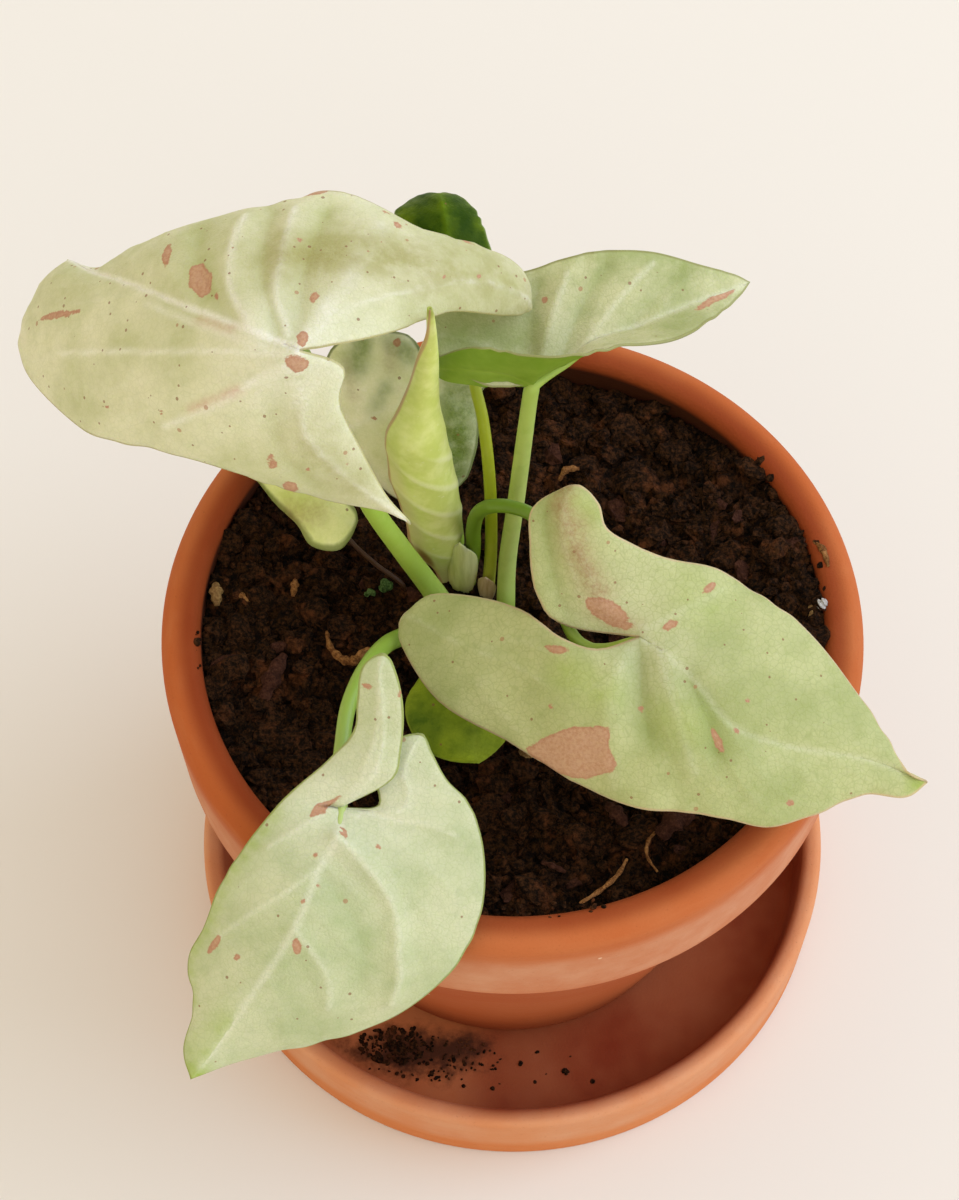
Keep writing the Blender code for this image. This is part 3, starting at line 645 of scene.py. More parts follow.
# %% Leaf outlines
LEAVES = {
    "leaf_top_left": {
        "at": (-35, 7, 194.9), "turn": (139, -29, -25), "swell": 2.5,
        "midrib": [(0, 0, 0), (8.5, 0.5, 4.5), (23.5, 0.5, 5.5), (42.5, 0, 4.5), (55.5, 0, 2.5),
            (67, -1, 0)],
        "left": {
            "lobe": [(-4, 16, -35.5), [(-2, 13.5, -29), (-1, 16, -32)],
                [(-1, 8, -18.5), (5.5, 19, -23.5)], [(-1, 4, -11.5), (11, 21, -15)],
                [(-2, -1, -8), (18, 22, -10)]],
            "edge": [(29, 23.5, -6.5), (46, 25.5, -4.5), (65.5, 21, -3), (73.5, 14.5, -2.5),
                (73.5, 5.5, -2)]},
        "right": {
            "lobe": [(-0.5, -27, -42), [(-1, -23.5, -37), (1.5, -32, -38.5)],
                [(-1.5, -18.5, -24.5), (4.5, -32.5, -31)], [(-3.5, -9, -11.5), (9, -30, -20)]],
            "edge": [(19.5, -29.5, -9.5), (26.5, -23, -3.5), (39.5, -14, 1), (51, -7, 0.5),
                (58, -1, 0)]}},
    "leaf_right": {
        "at": (21.4, -18.5, 143), "turn": (-21, -17, 15), "swell": 1.5,
        "midrib": [(0, 0, 0), (5.5, -1, 2), (12.5, -3.5, 3.5), (21, -7.5, 3.5), (31.5, -6, 2),
            (44, -2, 0.5), (52.5, -0.5, -0.5), (57, -0.5, 0)],
        "left": {
            "lobe": [(-22, 17.5, 6.5), [(-26.5, 11.5, 3.5), (-17, 16.5, 6.5)],
                [(-24, 6, 0.5), (-13.5, 13.5, 5)], [(-19.5, 0, -3), (-7, 13.5, 3)],
                [(-12.5, -3, -5.5), (-0.5, 14.5, 1.5)]],
            "edge": [(7, 17, 0), (13, 17, -1.5), (22, 16, -1.5), (29.5, 14, -2), (39.5, 9, -2),
                (48, 3.5, -1), (53, -0.5, 0.5)]},
        "right": {
            "lobe": [(-36.5, -11, -25), [(-34, -5.5, -22), (-34.5, -15.5, -24)],
                [(-26.5, -3, -16.5), (-24.5, -22.5, -19)], [(-19, -3, -9.5), (-11, -24.5, -13)],
                [(-12, -5.5, -3.5), (0.5, -26.5, -8)], [(-5.5, -5, -0.5), (8, -27, -4.5)]],
            "edge": [(13.5, -26.5, -1.5), (20, -24, -0.5), (27, -22, 0.5), (34.5, -20, 0),
                (41, -14.5, -0.5), (47.5, -7.5, -0.5), (54.5, -4.5, -0.5)]}},
    "leaf_front": {
        "at": (-30, -45.5, 131), "turn": (-126, -36, -25), "swell": 1.0,
        "midrib": [(0, 0, 0), (4, 1.5, 4), (9.5, 1, 5.5), (18, 2, 7), (26.5, 2, 7), (36, 1.5, 5),
            (48, 1, 2), (56.5, 0, 0.5)],
        "left": {
            "lobe": [(-17.5, 6.5, -3), [(-14.5, 3, -2.5), (-15.5, 9.5, -2.5)],
                [(-9, 1.5, -1.5), (-12.5, 14, -2)], [(-3.5, 5.5, 0), (-10.5, 19.5, -2)]],
            "edge": [(-6, 24.5, -0.5), (1.5, 29, 1), (10, 31, 2), (19.5, 30, 2.5), (30.5, 25.5, 1),
                (40.5, 17, -0.5), (50, 7, -2)]},
        "right": {
            "lobe": [(-28, -6.5, 0.5), [(-26, -3, 1), (-24, -8.5, 0)],
                [(-21, 1, 1.5), (-18.5, -6.5, 0)], [(-14.5, 4, 1), (-13, -4.5, 0)],
                [(-9, 5, 2), (-6, -6, -1)]],
            "edge": [(3, -9.5, 0.5), (13.5, -11.5, 1), (22, -12, 1), (30.5, -11, 0.5),
                (37.5, -10.5, -1), (44, -6, 0), (52.5, -3.5, -0.5)]}},
    "leaf_back_right": {
        "at": (3, 19, 165), "turn": (32, -6, 0), "swell": -1.0,
        "midrib": [(0, 0, 0), (5, 0, 2.5), (13, 0, 4.5), (23, -1, 4.5), (33.5, -1, 3.5),
            (41, -1, 2), (46, 0, 0)],
        "left": {
            "lobe": [(-12, 15, 3), [(-10.5, 9, 1), (-6, 19.5, 6)],
                [(-6.5, 3.5, -0.3), (2, 18, 8)]],
            "edge": [(8, 15, 10), (13, 13.5, 11.5), (20, 11.5, 12), (29, 8, 10), (37.5, 3.5, 6),
                (43, 1.5, 2.5)]},
        "right": {
            "lobe": [(-11.5, 13, -3.5), [(-11, 10, -3.5), (-11.5, 11.5, 2)],
                [(-7.5, 5.5, -1.5), (-9, 6, 10)], [(-3, 3, -1), (-5.5, 2, 11.5)]],
            "edge": [(-1.5, -2.5, 13), (4, -5.5, 13.5), (12, -7, 12.5), (23, -8, 8.5),
                (33.5, -5.5, 4.5), (41.5, -2.5, 1.5)]}},
    "leaf_back": {
        "at": (-10, 41.5, 165), "turn": (101, -28, 5), "swell": 1.0,
        "midrib": [(0, 0, 0), (1, 1, 5), (4, 1.5, 9.5), (9, 1.5, 11), (17, 1, 7), (25.5, 0, 0)],
        "left": {
            "lobe": [(0.5, 7.5, -5), [(0, 4.5, -2.5), (3, 9.5, -2.5)]],
            "edge": [(4.5, 11, 1.5), (6.5, 11, 5), (11, 9.5, 7.5), (18, 6, 6), (23, 3, 3)]},
        "right": {
            "lobe": [(-2, -5.5, -5), [(-1.5, -3, -3), (-0.5, -7.5, -3)]],
            "edge": [(0.5, -7, 1), (2.5, -6, 5), (7, -5, 8), (15, -4, 7), (22, -2.5, 3)]}},
    "leaf_middle": {
        "at": (-15, 32, 144), "turn": (-107, -68, 0), "swell": 1.0,
        "midrib": [(0, 0, 0), (6, 0.5, 1.5), (12, 0.5, 2), (20, 0.5, 1.5), (29, 0, 0)],
        "left": {
            "lobe": [(-7.5, 7, -4), [(-4, 2.5, -1.5), (-4, 10.5, -3)]],
            "edge": [(3, 8.5, -3), (8.5, 9.5, -2.5), (15.5, 9.5, -2), (23, 7.5, -2.5)]},
        "right": {
            "lobe": [(-7, -6, -3.5), [(-5, -2.5, -2), (-6.5, -11.5, -3)],
                [(-2.5, -0.5, -1.5), (-4.5, -16.5, -2)]],
            "edge": [(-0.5, -19.5, 0), (7, -18.5, 2), (16.5, -13.5, 2.5), (25.5, -6.5, 1)]}},
    "leaf_low_left": {
        "at": (-36, 26, 124), "turn": (156, -15, -5), "swell": 1.0,
        "midrib": [(0, 0, 0), (2.5, 1, 2), (7, 2, 3), (13, 1.5, 2.5), (19.5, 0, 0)],
        "left": {
            "lobe": [(-8.5, 5, -7), [(-6.5, 2.5, -4.5), (-8, 11.5, -6.5)],
                [(-3.5, 1, -2), (-3, 13, -5)]],
            "edge": [(0.5, 10.5, -3), (6, 8, -2), (11, 5, -1), (16, 2, -0.5)]},
        "right": {
            "lobe": [(-2, -11, -6.5), [(-2.5, -6.5, -4.5), (1, -12.5, -6)]],
            "edge": [(5, -11, -4), (10, -9, -2.5), (14.5, -5.5, -1), (18, -3, -0.5)]}},
    "leaf_low_front": {
        "at": (-9.5, -17, 119), "turn": (-77, -22, 5), "swell": 0.8,
        "midrib": [(0, 0, 0), (3.5, 0.5, 1.5), (7, 1, 2), (11, 0.5, 1), (13.5, 0.5, 0)],
        "left": {
            "lobe": [(-2.5, 5.5, -5), [(-1.5, 3, -2), (-0.5, 7.5, -4)]],
            "edge": [(3.5, 8.5, -2.5), (7.5, 8, -1.5), (10.5, 6, -0.5), (12.5, 3, 0)]},
        "right": {
            "lobe": [(-5.5, -4.5, -5), [(-2.5, -2, -2), (-4, -7, -4.5)]],
            "edge": [(-0.5, -10, -2.5), (4, -10.5, -1), (9, -8.5, 0), (12, -4.5, 0.5)]}}}


# %% Loft of a blade
LARGE_ROWS = (36, 104, 44)    # rows along the back lobe and the midrib, columns across a half
SMALL_ROWS = (22, 56, 26)
LOBE_CROWDING = 1.6           # rows lie closer together near the stalk
FULL_SWELL_WIDTH = 20.0       # mm; narrower parts of the blade swell less


def smooth_curve(points, positions):
    """Points on the smooth curve through the given ones; position 0 is the first of them."""
    knots = np.asarray(points, float)
    padded = np.vstack([2 * knots[0] - knots[1], knots, 2 * knots[-1] - knots[-2]])
    positions = np.clip(positions, 0, len(knots) - 1)
    first = np.minimum(positions.astype(int), len(knots) - 2)
    t = (positions - first)[:, None]
    a, b, c, d = (padded[first + k] for k in range(4))
    cubic = (3 * b - a - 3 * c + d) * t ** 3
    return 0.5 * (2 * b + (c - a) * t + (2 * a - 5 * b + 4 * c - d) * t ** 2 + cubic)


def through(points, steps):
    """That many points on the whole smooth curve through the given ones."""
    return smooth_curve(points, np.linspace(0, len(points) - 1, steps))


def is_large(leaf):
    return len(leaf["midrib"]) > 5


class HalfBlade:
    """One half of a leaf: a grid of points from its back lobe to its tip, midrib outwards."""

    def __init__(self, leaf, side):
        self.lobe_rows, blade_rows, self.columns = LARGE_ROWS if is_large(leaf) else SMALL_ROWS
        midrib = leaf["midrib"]
        lobe_tip, *pairs = leaf[side]["lobe"]
        outline = [midrib[0], *[pair[0] for pair in pairs[::-1]], lobe_tip,
                   *[pair[1] for pair in pairs], *leaf[side]["edge"], midrib[-1]]
        self.lobe, self.blade = len(pairs) + 1, len(midrib) - 1
        along_lobe = self.lobe * np.linspace(0, 1, self.lobe_rows + 1) ** LOBE_CROWDING
        along_blade = self.blade * np.linspace(0, 1, blade_rows + 1)[1:]
        inner = np.vstack([smooth_curve(outline, self.lobe - along_lobe),
                           smooth_curve(midrib, along_blade)])
        self.stations = np.concatenate([along_lobe, self.lobe + along_blade])
        outer = smooth_curve(outline, self.lobe + self.stations)
        across = np.linspace(0, 1, self.columns + 1)
        flat = inner[:, None] + (outer - inner)[:, None] * across[None, :, None]
        width = np.linalg.norm(outer - inner, axis=1)
        swell = leaf["swell"] * np.minimum(1, width / FULL_SWELL_WIDTH)[:, None]
        bow = swell * 4 * across * (1 - across)
        self.hand = 1 if side == "left" else -1
        self.grid = flat + self.upward(flat) * bow[..., None]

    def upward(self, grid):
        """Unit normals of the upper face at every point of a grid."""
        normal = np.cross(np.gradient(grid, axis=0), np.gradient(grid, axis=1)) * self.hand
        return normal / (np.linalg.norm(normal, axis=2, keepdims=True) + 1e-9)

    def spot(self, along, across):
        """Point of the blade at (along, across)."""
        station = self.lobe * (1 + along) if along < 0 else self.lobe + self.blade * along
        row = np.interp(station, self.stations, np.arange(len(self.stations)))
        column = across * self.columns
        r, c = min(int(row), len(self.stations) - 2), min(int(column), self.columns - 1)
        a, b = row - r, column - c
        corners = self.grid[r:r + 2, c:c + 2]
        return ((1 - a) * ((1 - b) * corners[0, 0] + b * corners[0, 1]) +
                a * ((1 - b) * corners[1, 0] + b * corners[1, 1]))

    def path(self, route, steps=60):
        """Points of the blade along a route of (along, across) pairs."""
        fine = through([(*pair, 0) for pair in route], steps)
        return np.array([self.spot(a, min(max(c, 0), 1)) for a, c, _ in fine])


def nearness(points, targets, radii=0.0, chunk=4000):
    """Distance in mm from each point to the nearest target, less that target's radius."""
    flat = points.reshape(-1, 3)
    nearest = [(np.sqrt(((flat[k:k + chunk, None] - targets[None]) ** 2).sum(2)) - radii).min(1)
               for k in range(0, len(flat), chunk)]
    return np.concatenate(nearest).reshape(points.shape[:-1])


def depth_in(points, corners):
    """Distance in mm to a polygon, below zero inside it, seen along the blade's z axis."""
    x, y = points[..., 0], points[..., 1]
    best, inside = np.full(x.shape, 99.0), np.zeros(x.shape, bool)
    for (ax, ay, _), (bx, by, _) in zip(corners, np.roll(corners, -1, axis=0)):
        dx, dy = bx - ax, by - ay
        share = np.clip(((x - ax) * dx + (y - ay) * dy) / (dx ** 2 + dy ** 2), 0, 1)
        best = np.minimum(best, np.hypot(x - ax - share * dx, y - ay - share * dy))
        inside ^= ((ay > y) != (by > y)) & (x < ax + dx * (y - ay) / (dy + 1e-9))
    return np.where(inside, -best, best)


# %% [markdown]
# Veins follow one rule on every leaf: a rib to the middle of the back lobe, side veins that leave
# the midrib at even steps and sweep forward, and the margin vein. Strong pleats and pink splashes
# differ from leaf to leaf, so these are listed one by one. A pleat is a route with the height in mm
# that it raises (or, below zero, sinks) the blade and the width of its slope; a sunk pleat is also
# given more green as painted shade. A splash is a stroke from one spot of the blade to another with
# its half width in mm, or a ring round a patch. Dusk is a soft brownish shade. Greener and shaded
# is a deeper green, laid where the blade has kept more green and, in valleys, along near edges and
# behind other leaves, as painted shade: a stroke, its half width in mm and its strength. All these
# routes are in (along, across) in per cent, to keep them short.

# %% Pleats and splashes
PLEATS = {
    "leaf_top_left": {
        "right": [
            ([(3, 3), (5, 30), (5, 55), (3, 85)], -1.1, 3.0),
            ([(10, 3), (17, 27), (19, 50), (20, 90)], -0.8, 2.2),
            ([(6, 5), (13, 25), (13, 52), (13, 85)], 0.7, 2.2),
            ([(20, 3), (26, 20), (27, 50), (26, 85)], 0.8, 2.4),
            ([(26, 3), (33, 20), (36, 50), (36, 80)], -0.8, 2.6),
            ([(0, 5), (-8, 35), (-12, 80)], 0.8, 3.5)],
        "left": [
            ([(0, 3), (1, 27), (2, 50), (6, 75)], 0.5, 2.2),
            ([(3, 4), (17, 14), (27, 30), (35, 48), (42, 70)], 0.4, 1.8),
            ([(3, 5), (20, 6), (32, 8), (47, 10)], 0.3, 2.4),
            ([(-2, 8), (-18, 30), (-40, 36), (-60, 40)], 0.3, 1.6),
            ([(-2, 10), (-14, 42), (-34, 60), (-55, 75)], -0.35, 1.4)]},
    "leaf_right": {
        "right": [
            ([(0, 2), (-7, 10), (-11, 25), (-14, 45), (-14, 70), (-12, 90)], 0.9, 1.4),
            ([(0, 5), (0, 20), (1, 36), (3, 55)], -1.2, 2.4),
            ([(24, 4), (30, 20), (30, 45)], -0.9, 2.2), ([(10, 3), (15, 30), (20, 70)], 0.6, 2.6),
            ([(-30, 10), (-52, 25), (-60, 50), (-55, 75), (-46, 88)], 0.35, 1.2)],
        "left": [
            ([(0, 3), (-10, 20), (-30, 45), (-60, 55), (-90, 40)], 0.7, 2.0),
            ([(0, 4), (5, 40), (10, 80)], 0.5, 2.5), ([(-20, 10), (-50, 22), (-80, 20)], -0.7, 1.6)
        ]},
    "leaf_front": {
        "left": [
            ([(14, 0), (19, 18), (24, 34), (28, 45), (34, 55), (40, 63), (46, 75), (52, 84)], 1.1,
                1.8),
            ([(48, 2), (51, 20), (55, 39), (61, 56)], 0.55, 1.8),
            ([(30, 3), (36, 25), (44, 45), (52, 60)], -0.4, 2.4),
            ([(3, 8), (-2, 30), (-5, 55), (0, 80)], 0.45, 1.6)],
        "right": [
            ([(29, 0), (35, 25), (40, 52), (46, 75)], 0.4, 1.6),
            ([(0, 10), (7, 39), (15, 70)], 0.4, 1.5), ([(0, 10), (-30, 50), (-70, 50)], 0.35, 1.4)]
    },
    "leaf_back_right": {
        "left": [
            ([(5, 3), (12, 40), (20, 85)], 0.9, 2.0), ([(30, 3), (40, 40), (50, 85)], 0.6, 1.8),
            ([(18, 5), (26, 40), (36, 80)], -0.8, 2.0), ([(-2, 10), (-2, 50), (4, 85)], -0.7, 2.0),
            ([(45, 5), (53, 40), (62, 80)], -0.5, 1.8)],
        "right": [([(10, 5), (20, 50), (30, 90)], 0.3, 1.5)]},
    "leaf_middle": {
        "left": [([(20, 5), (35, 40), (50, 80)], -0.4, 1.6)],
        "right": [
            ([(10, 5), (25, 40), (40, 85)], 0.5, 2.0), ([(2, 10), (-10, 50), (-10, 90)], -0.6, 2.2)
        ]}}
SPLASHES = {
    "leaf_top_left": {
        "right": [
            ([(44, 63), (45, 36)], 0.95), ([(31, 14), (31, 18)], 0.5),
            ([(38, 39), (35, 43), (32, 32), (33, 18), (36, 11), (39, 20)], 0.1),
            ([(12, 100), (5, 100)], 1.3), ([(9, 60), (9, 62)], 0.5), ([(0, 25), (0, 30)], 0.8),
            ([(0, 2), (1, 8)], 0.9), ([(-13, 96), (-15, 93)], 0.8), ([(-17, 89), (-19, 84)], 0.9),
            ([(-18, 78), (-19, 76)], 0.6), ([(-40, 98), (-43, 93)], 0.9),
            ([(-37, 43), (-38, 44)], 0.5), ([(-50, 48), (-52, 48)], 0.5),
            ([(-18, 36), (-18.5, 36.5)], 0.45)],
        "left": [
            ([(59, 70), (54, 40)], 0.7), ([(-1, 6), (-4, 7)], 1.7), ([(-33, 68), (-38, 79)], 0.85),
            ([(-46, 84), (-50, 98)], 1.3), ([(-48, 60), (-50, 63)], 0.6),
            ([(-60, 29), (-60, 31)], 0.45), ([(22, 76.5), (22, 78)], 0.5),
            ([(11, 64), (11, 65.5)], 0.45)]},
    "leaf_right": {
        "right": [
            ([(-46, 99), (-40, 80), (-31, 61), (-21, 53), (-14, 50), (-14, 64), (-11, 77),
                (-21, 86), (-27, 93), (-37, 100)], 0.15),
            ([(-39, 13), (-29, 6)], 0.75), ([(-37, 52), (-37.5, 53)], 0.5),
            ([(-34, 47), (-34.5, 49)], 0.6), ([(31, 29), (33, 42)], 0.8),
            ([(43, 2), (43.5, 4)], 0.5), ([(51, 74), (51.5, 77)], 0.65),
            ([(-7, 39), (-7.5, 41)], 0.4), ([(0, 41), (0, 43)], 0.4)],
        "left": [
            ([(-27, 34), (-24, 41), (-14, 36), (-4, 12), (-2, 4), (-11, 14), (-18, 24)], 0.3),
            ([(6, 18), (7.5, 28)], 0.8), ([(5, 68), (5, 82)], 0.65), ([(40, 20), (40.5, 22)], 0.45)
        ]},
    "leaf_front": {
        "left": [
            ([(10, 0), (13, 5)], 0.65), ([(50, 4), (53, 10)], 0.8), ([(12, 25), (12.5, 27)], 0.4),
            ([(33, 2), (34, 4)], 0.4)],
        "right": [
            ([(5, 41), (0, 44), (-4, 36), (3, 24)], 0.15), ([(-2, 33), (-8, 30)], 0.4),
            ([(47, 74), (54, 76)], 0.7), ([(55.5, 42), (57, 44)], 0.5),
            ([(-69, 90), (-69, 66)], 0.55), ([(-67, 6), (-70, 2)], 0.4),
            ([(22, 11), (22.5, 13)], 0.35), ([(38, 2), (39, 4)], 0.35)]},
    "leaf_back_right": {
        "right": [([(64, 34), (84, 0)], 0.85)], "left": [([(8, 66), (9, 70)], 0.55)]},
    "leaf_middle": {"right": [([(-62, 50), (-63, 52)], 0.7), ([(30, 50), (31, 52)], 0.5)]}}
DUSK = {
    "leaf_right": {
        "left": [
            ([(-92, 30), (-67, 60)], 2.2, 0.8), ([(-67, 60), (-27, 45)], 2.6, 0.85),
            ([(-24, 37), (-4, 10)], 1.6, 0.75)]},
    "leaf_low_left": {
        "left": [([(-20, 60), (10, 90)], 3.0, 0.5)], "right": [([(-20, 60), (10, 90)], 3.0, 0.5)]},
    "leaf_middle": {
        "right": [([(-40, 50), (-10, 40)], 1.6, 0.35), ([(0, 80), (20, 70)], 1.4, 0.3)]},
    "leaf_top_left": {"left": [([(33, 5), (24, 3)], 0.9, 0.45), ([(6, 56), (2, 34)], 0.8, 0.55)]}}
# Deeper green: where the blade has kept more green, and as painted shade in valleys, along near
# edges and behind other leaves.
GREENER_AND_SHADED = {
    "leaf_top_left": {
        "right": [([(-30, 50), (-85, 50)], 8.0, 0.75), ([(10, 50), (-25, 60)], 7.0, 0.85)],
        "left": [([(-45, 35), (-65, 45)], 6.0, 0.5)]},
    "leaf_front": {
        "right": [
            ([(5, 92), (70, 98)], 1.5, 0.5), ([(80, 5), (92, 30)], 4.0, 0.45),
            ([(97, 50), (100, 50)], 2.6, 0.9)],
        "left": [([(97, 50), (100, 50)], 2.6, 0.9)]},
    "leaf_right": {
        "left": [
            ([(96.5, 50), (100, 50)], 2.6, 0.9), ([(2, 60), (12, 55)], 6.0, 0.3),
            ([(-90, 60), (-75, 90)], 2.5, 0.35)],
        "right": [
            ([(96.5, 50), (100, 50)], 2.6, 0.9), ([(-30, 20), (-15, 28)], 4.0, 0.5),
            ([(12, 40), (20, 40)], 4.0, 0.3)]},
    "leaf_back_right": {
        "left": [([(20, 97), (80, 95)], 1.3, 0.45), ([(0, 40), (-60, 50)], 4.0, 0.7)]},
    "leaf_middle": {
        "left": [([(0, 60), (75, 60)], 5.0, 0.95)],
        "right": [
            ([(-30, 80), (0, 70)], 2.4, 0.8), ([(-60, 60), (-50, 30)], 2.4, 0.7),
            ([(10, 40), (25, 50)], 1.8, 0.5), ([(30, 95), (60, 95)], 1.5, 0.6)]},
    "leaf_back": {
        "left": [([(20, 40), (70, 40)], 3.0, 0.9)], "right": [([(20, 50), (70, 50)], 3.0, 0.9)]},
    "leaf_low_left": {
        "left": [([(10, 98), (90, 98)], 0.9, 0.9)], "right": [([(10, 98), (90, 98)], 0.9, 0.9)]}}
MARGIN_VEIN = 0.93            # how far across a half the vein along the margin runs
WAVE_HEIGHT = 0.18            # mm that the margin ripples up and down
RIB = [(0, 0), (-0.12, 0.2), (-0.35, 0.36), (-0.7, 0.46), (-0.95, 0.5)]


def side_veins(count):
    """Veins that every half has, with heights and widths: lobe rib, side veins, margin vein."""
    routes = [(RIB, 0.35, 0.7)]
    for k in range(count):
        start, sweep = 0.02 + 0.75 * k / count, 0.2 - 0.05 * k / count
        routes.append(([(start, 0.01), (start + sweep * 0.25, 0.3), (start + sweep * 0.6, 0.65),
                        (start + sweep * 1.1, MARGIN_VEIN)], 0.16, 0.5))
    for start, end in ((-0.2, -0.02), (-0.4, -0.25), (-0.62, -0.5)):
        on_rib = np.interp(-start, [0, 0.12, 0.35, 0.7], [0, 0.2, 0.36, 0.46])
        between = ((start + end) / 2, (on_rib + MARGIN_VEIN) / 2)
        routes.append(([(start, on_rib), between, (end, MARGIN_VEIN)], 0.12, 0.5))
    margin = [(along, MARGIN_VEIN) for along in (-0.85, -0.4, 0.1, 0.5, 0.93)]
    return routes + [(margin, 0.06, 0.4)]


# %% [markdown]
# The upper face of the blade is waxy but not shiny. In this variegated form the green is thinned to
# a milky yellow-green, with a net of fine veins, rusty specks and salmon-pink splashes with crisp,
# slightly ragged borders. IOR 1.45 is a plant wax's; the light that goes through the thin blade is
# given by subsurface scattering with a path of about a millimetre.

# %% Leaf materials
def dots(leaf, spacing_mm, share, largest):
    """Mask of round specks: one cell in so many holds one, up to largest cells in radius."""
    cells = leaf.cells(leaf.place, spacing_mm)
    chance, size, _ = leaf.add("ShaderNodeSeparateColor", {0: cells["Color"]}, None)
    size = leaf.scaled(size, largest * 0.7, largest * 0.3)
    return leaf.times(leaf.math("LESS_THAN", cells["Distance"], size),
                      leaf.math("LESS_THAN", chance, share))


def variegated(name, pale, green, vein, margin, deep_and_shade="9AB03A", mottle=0.5, net=0.12, veins=0.3,
               heart=0.35, rim_mm=0.5, milk=0.8, specks=0.8, smear="98704A", gloss=0.22):
    """Upper face of a blade."""
    leaf = Finish(name, pale)
    clouds, blotch = leaf.grain(16), leaf.grain(3.5, 4, 0.65)
    fine, flecks = leaf.grain(0.45, 2, 0.6), leaf.grain(0.6, 2)
    patches = leaf.times(leaf.ramp(blotch, 0.42, 0.7), mottle * 0.35)
    share = leaf.scaled(leaf.ramp(clouds, 0.36, 0.68), mottle, patches)
    # Painted shade: the valleys of sunk pleats get more of the green.
    sunk = leaf.times(leaf.kept("shaded_hollow"), 0.6)
    leaf.coat(leaf.math("ADD", share, sunk, use_clamp=True), green)
    leaf.coat(leaf.times(leaf.ramp(leaf.kept("heart"), 22.0, 2.0), heart), vein)
    leaf.coat(leaf.ramp(leaf.scaled(blotch, 0.8, leaf.kept("vein")), 1.5, 0.4), vein, veins)
    feathered = leaf.ramp(blotch, 0.2, 0.7, 0.5 * milk, milk)
    leaf.coat(leaf.times(leaf.kept("milk"), feathered), vein)
    # Deeper green, partly the blade's own and partly painted shade in valleys, near edges and
    # behind other leaves.
    leaf.coat(leaf.times(leaf.kept("deep_and_shade"), leaf.ramp(blotch, 0.3, 0.65, 0.6, 1.0)), deep_and_shade)
    leaf.coat(leaf.ramp(fine, 0.3, 0.75, 0.0, 0.16), green)
    cells = leaf.cells(leaf.place, 1.2, "Distance", feature="DISTANCE_TO_EDGE")
    leaf.coat(leaf.ramp(leaf.scaled(fine, 0.1, cells), 0.15, 0.02), green, net)
    leaf.coat(dots(leaf, 2.4, 0.8 * specks, 0.14), "86583A", 0.7)
    leaf.coat(dots(leaf, 5.0, 0.8 * specks, 0.1), "A8704C", 0.6)
    rim = leaf.scaled(blotch, rim_mm * 0.6, leaf.kept("edge"))
    leaf.coat(leaf.ramp(rim, rim_mm * 1.3, rim_mm * 0.7), margin, 0.8)
    splash = leaf.math("SUBTRACT", leaf.kept("splash"), 0.65)
    ragged = leaf.scaled(leaf.grain(1.4, 4, 0.75), 1.3, splash)
    stipple = leaf.ramp(flecks, 0.35, 0.7)
    blush = leaf.blend(leaf.times(stipple, 0.6), "C49A7A", "B07A58")
    blush = leaf.blend(leaf.ramp(ragged, -0.6, -0.1, 0.0, 0.45), blush, "A8684C")
    leaf.coat(leaf.ramp(ragged, 0.14, -0.14), blush, 0.93)
    dusk = leaf.times(leaf.kept("dusk"), leaf.ramp(blotch, 0.25, 0.6, 0.6, 1.0))
    leaf.coat(leaf.times(dusk, leaf.scaled(stipple, 0.3, 0.6)), smear)
    return leaf.done(fine, 0.14, gloss, IOR=1.45, Roughness=leaf.ramp(blotch, 0.3, 0.7, 0.5, 0.64),
                     **seeping(0.3, 0.8))


def underside(name, pale, rib):
    """Lower face of a blade: duller and more even, with its ribs standing out."""
    under = Finish(name, pale)
    soft = under.grain(6, 4, 0.6)
    under.coat(under.ramp(soft, 0.35, 0.7), rib, 0.5)
    under.coat(under.ramp(under.kept("vein"), 0.9, 0.2), rib, 0.7)
    return under.done(soft, 0.15, IOR=1.45, Roughness=0.58, **seeping(0.35, 1.0))


CREAMY = dict(pale="D8D5A8", green="ABB271", vein="EAE8D2", margin="8E9650")
LEAF_PAINT = {
    "leaf_top_left": dict(CREAMY, pale="DEDCB8", green="B2B67C", margin="B5AC74", deep_and_shade="9F975A",
        vein="F0EEDE", veins=0.7, net=0.24, milk=1.3, specks=1.0, smear="C48C72"),
    "leaf_right": dict(CREAMY, pale="BFC189", green="909B57", margin="C9B08A", net=0.42,
        veins=0.12, heart=0.2, milk=0.3),
    "leaf_front": dict(CREAMY, pale="CCCEA6", green="9EAC74", margin="8A9440", veins=0.3, net=0.28,
        milk=0.75, specks=0.35),
    "leaf_back_right": dict(CREAMY, pale="C8C698", green="8F9A58", margin="8C8C54", deep_and_shade="8C9A4C",
        mottle=0.6, veins=0.2, net=0.28, milk=0.6, specks=0.5),
    "leaf_back": dict(pale="7E9414", green="365000", vein="6C8A08", margin="7C8C50", deep_and_shade="264000",
        mottle=0.9, veins=0.2, heart=0.0, gloss=0.1),
    # These two are painted paler than their own colour, as painted light that makes up for the
    # shade of the leaves above them.
    "leaf_middle": dict(pale="FAF6DC", green="C2C874", vein="FAF6E4", margin="5E6A1E",
        deep_and_shade="5C7808", mottle=0.5, veins=0.2, rim_mm=0.8),
    "leaf_low_left": dict(pale="F4F8B0", green="CCDA70", vein="F4F8C4", margin="748038",
        deep_and_shade="4A6A10", mottle=0.8, veins=0.15, heart=0.1, rim_mm=1.5),
    "leaf_low_front": dict(pale="A6B828", green="466404", vein="9AAA30", margin="96AA34",
        mottle=0.8, veins=0.15, heart=0.0, gloss=0.2)}
PALE_UNDER = underside("pale_leaf_underside", "A4B468", "C0CA90")
GREEN_UNDER = underside("green_leaf_underside", "7C942C", "9CB050")
LIME_UNDER = underside("lime_leaf_underside", "72901A", "90A63A")
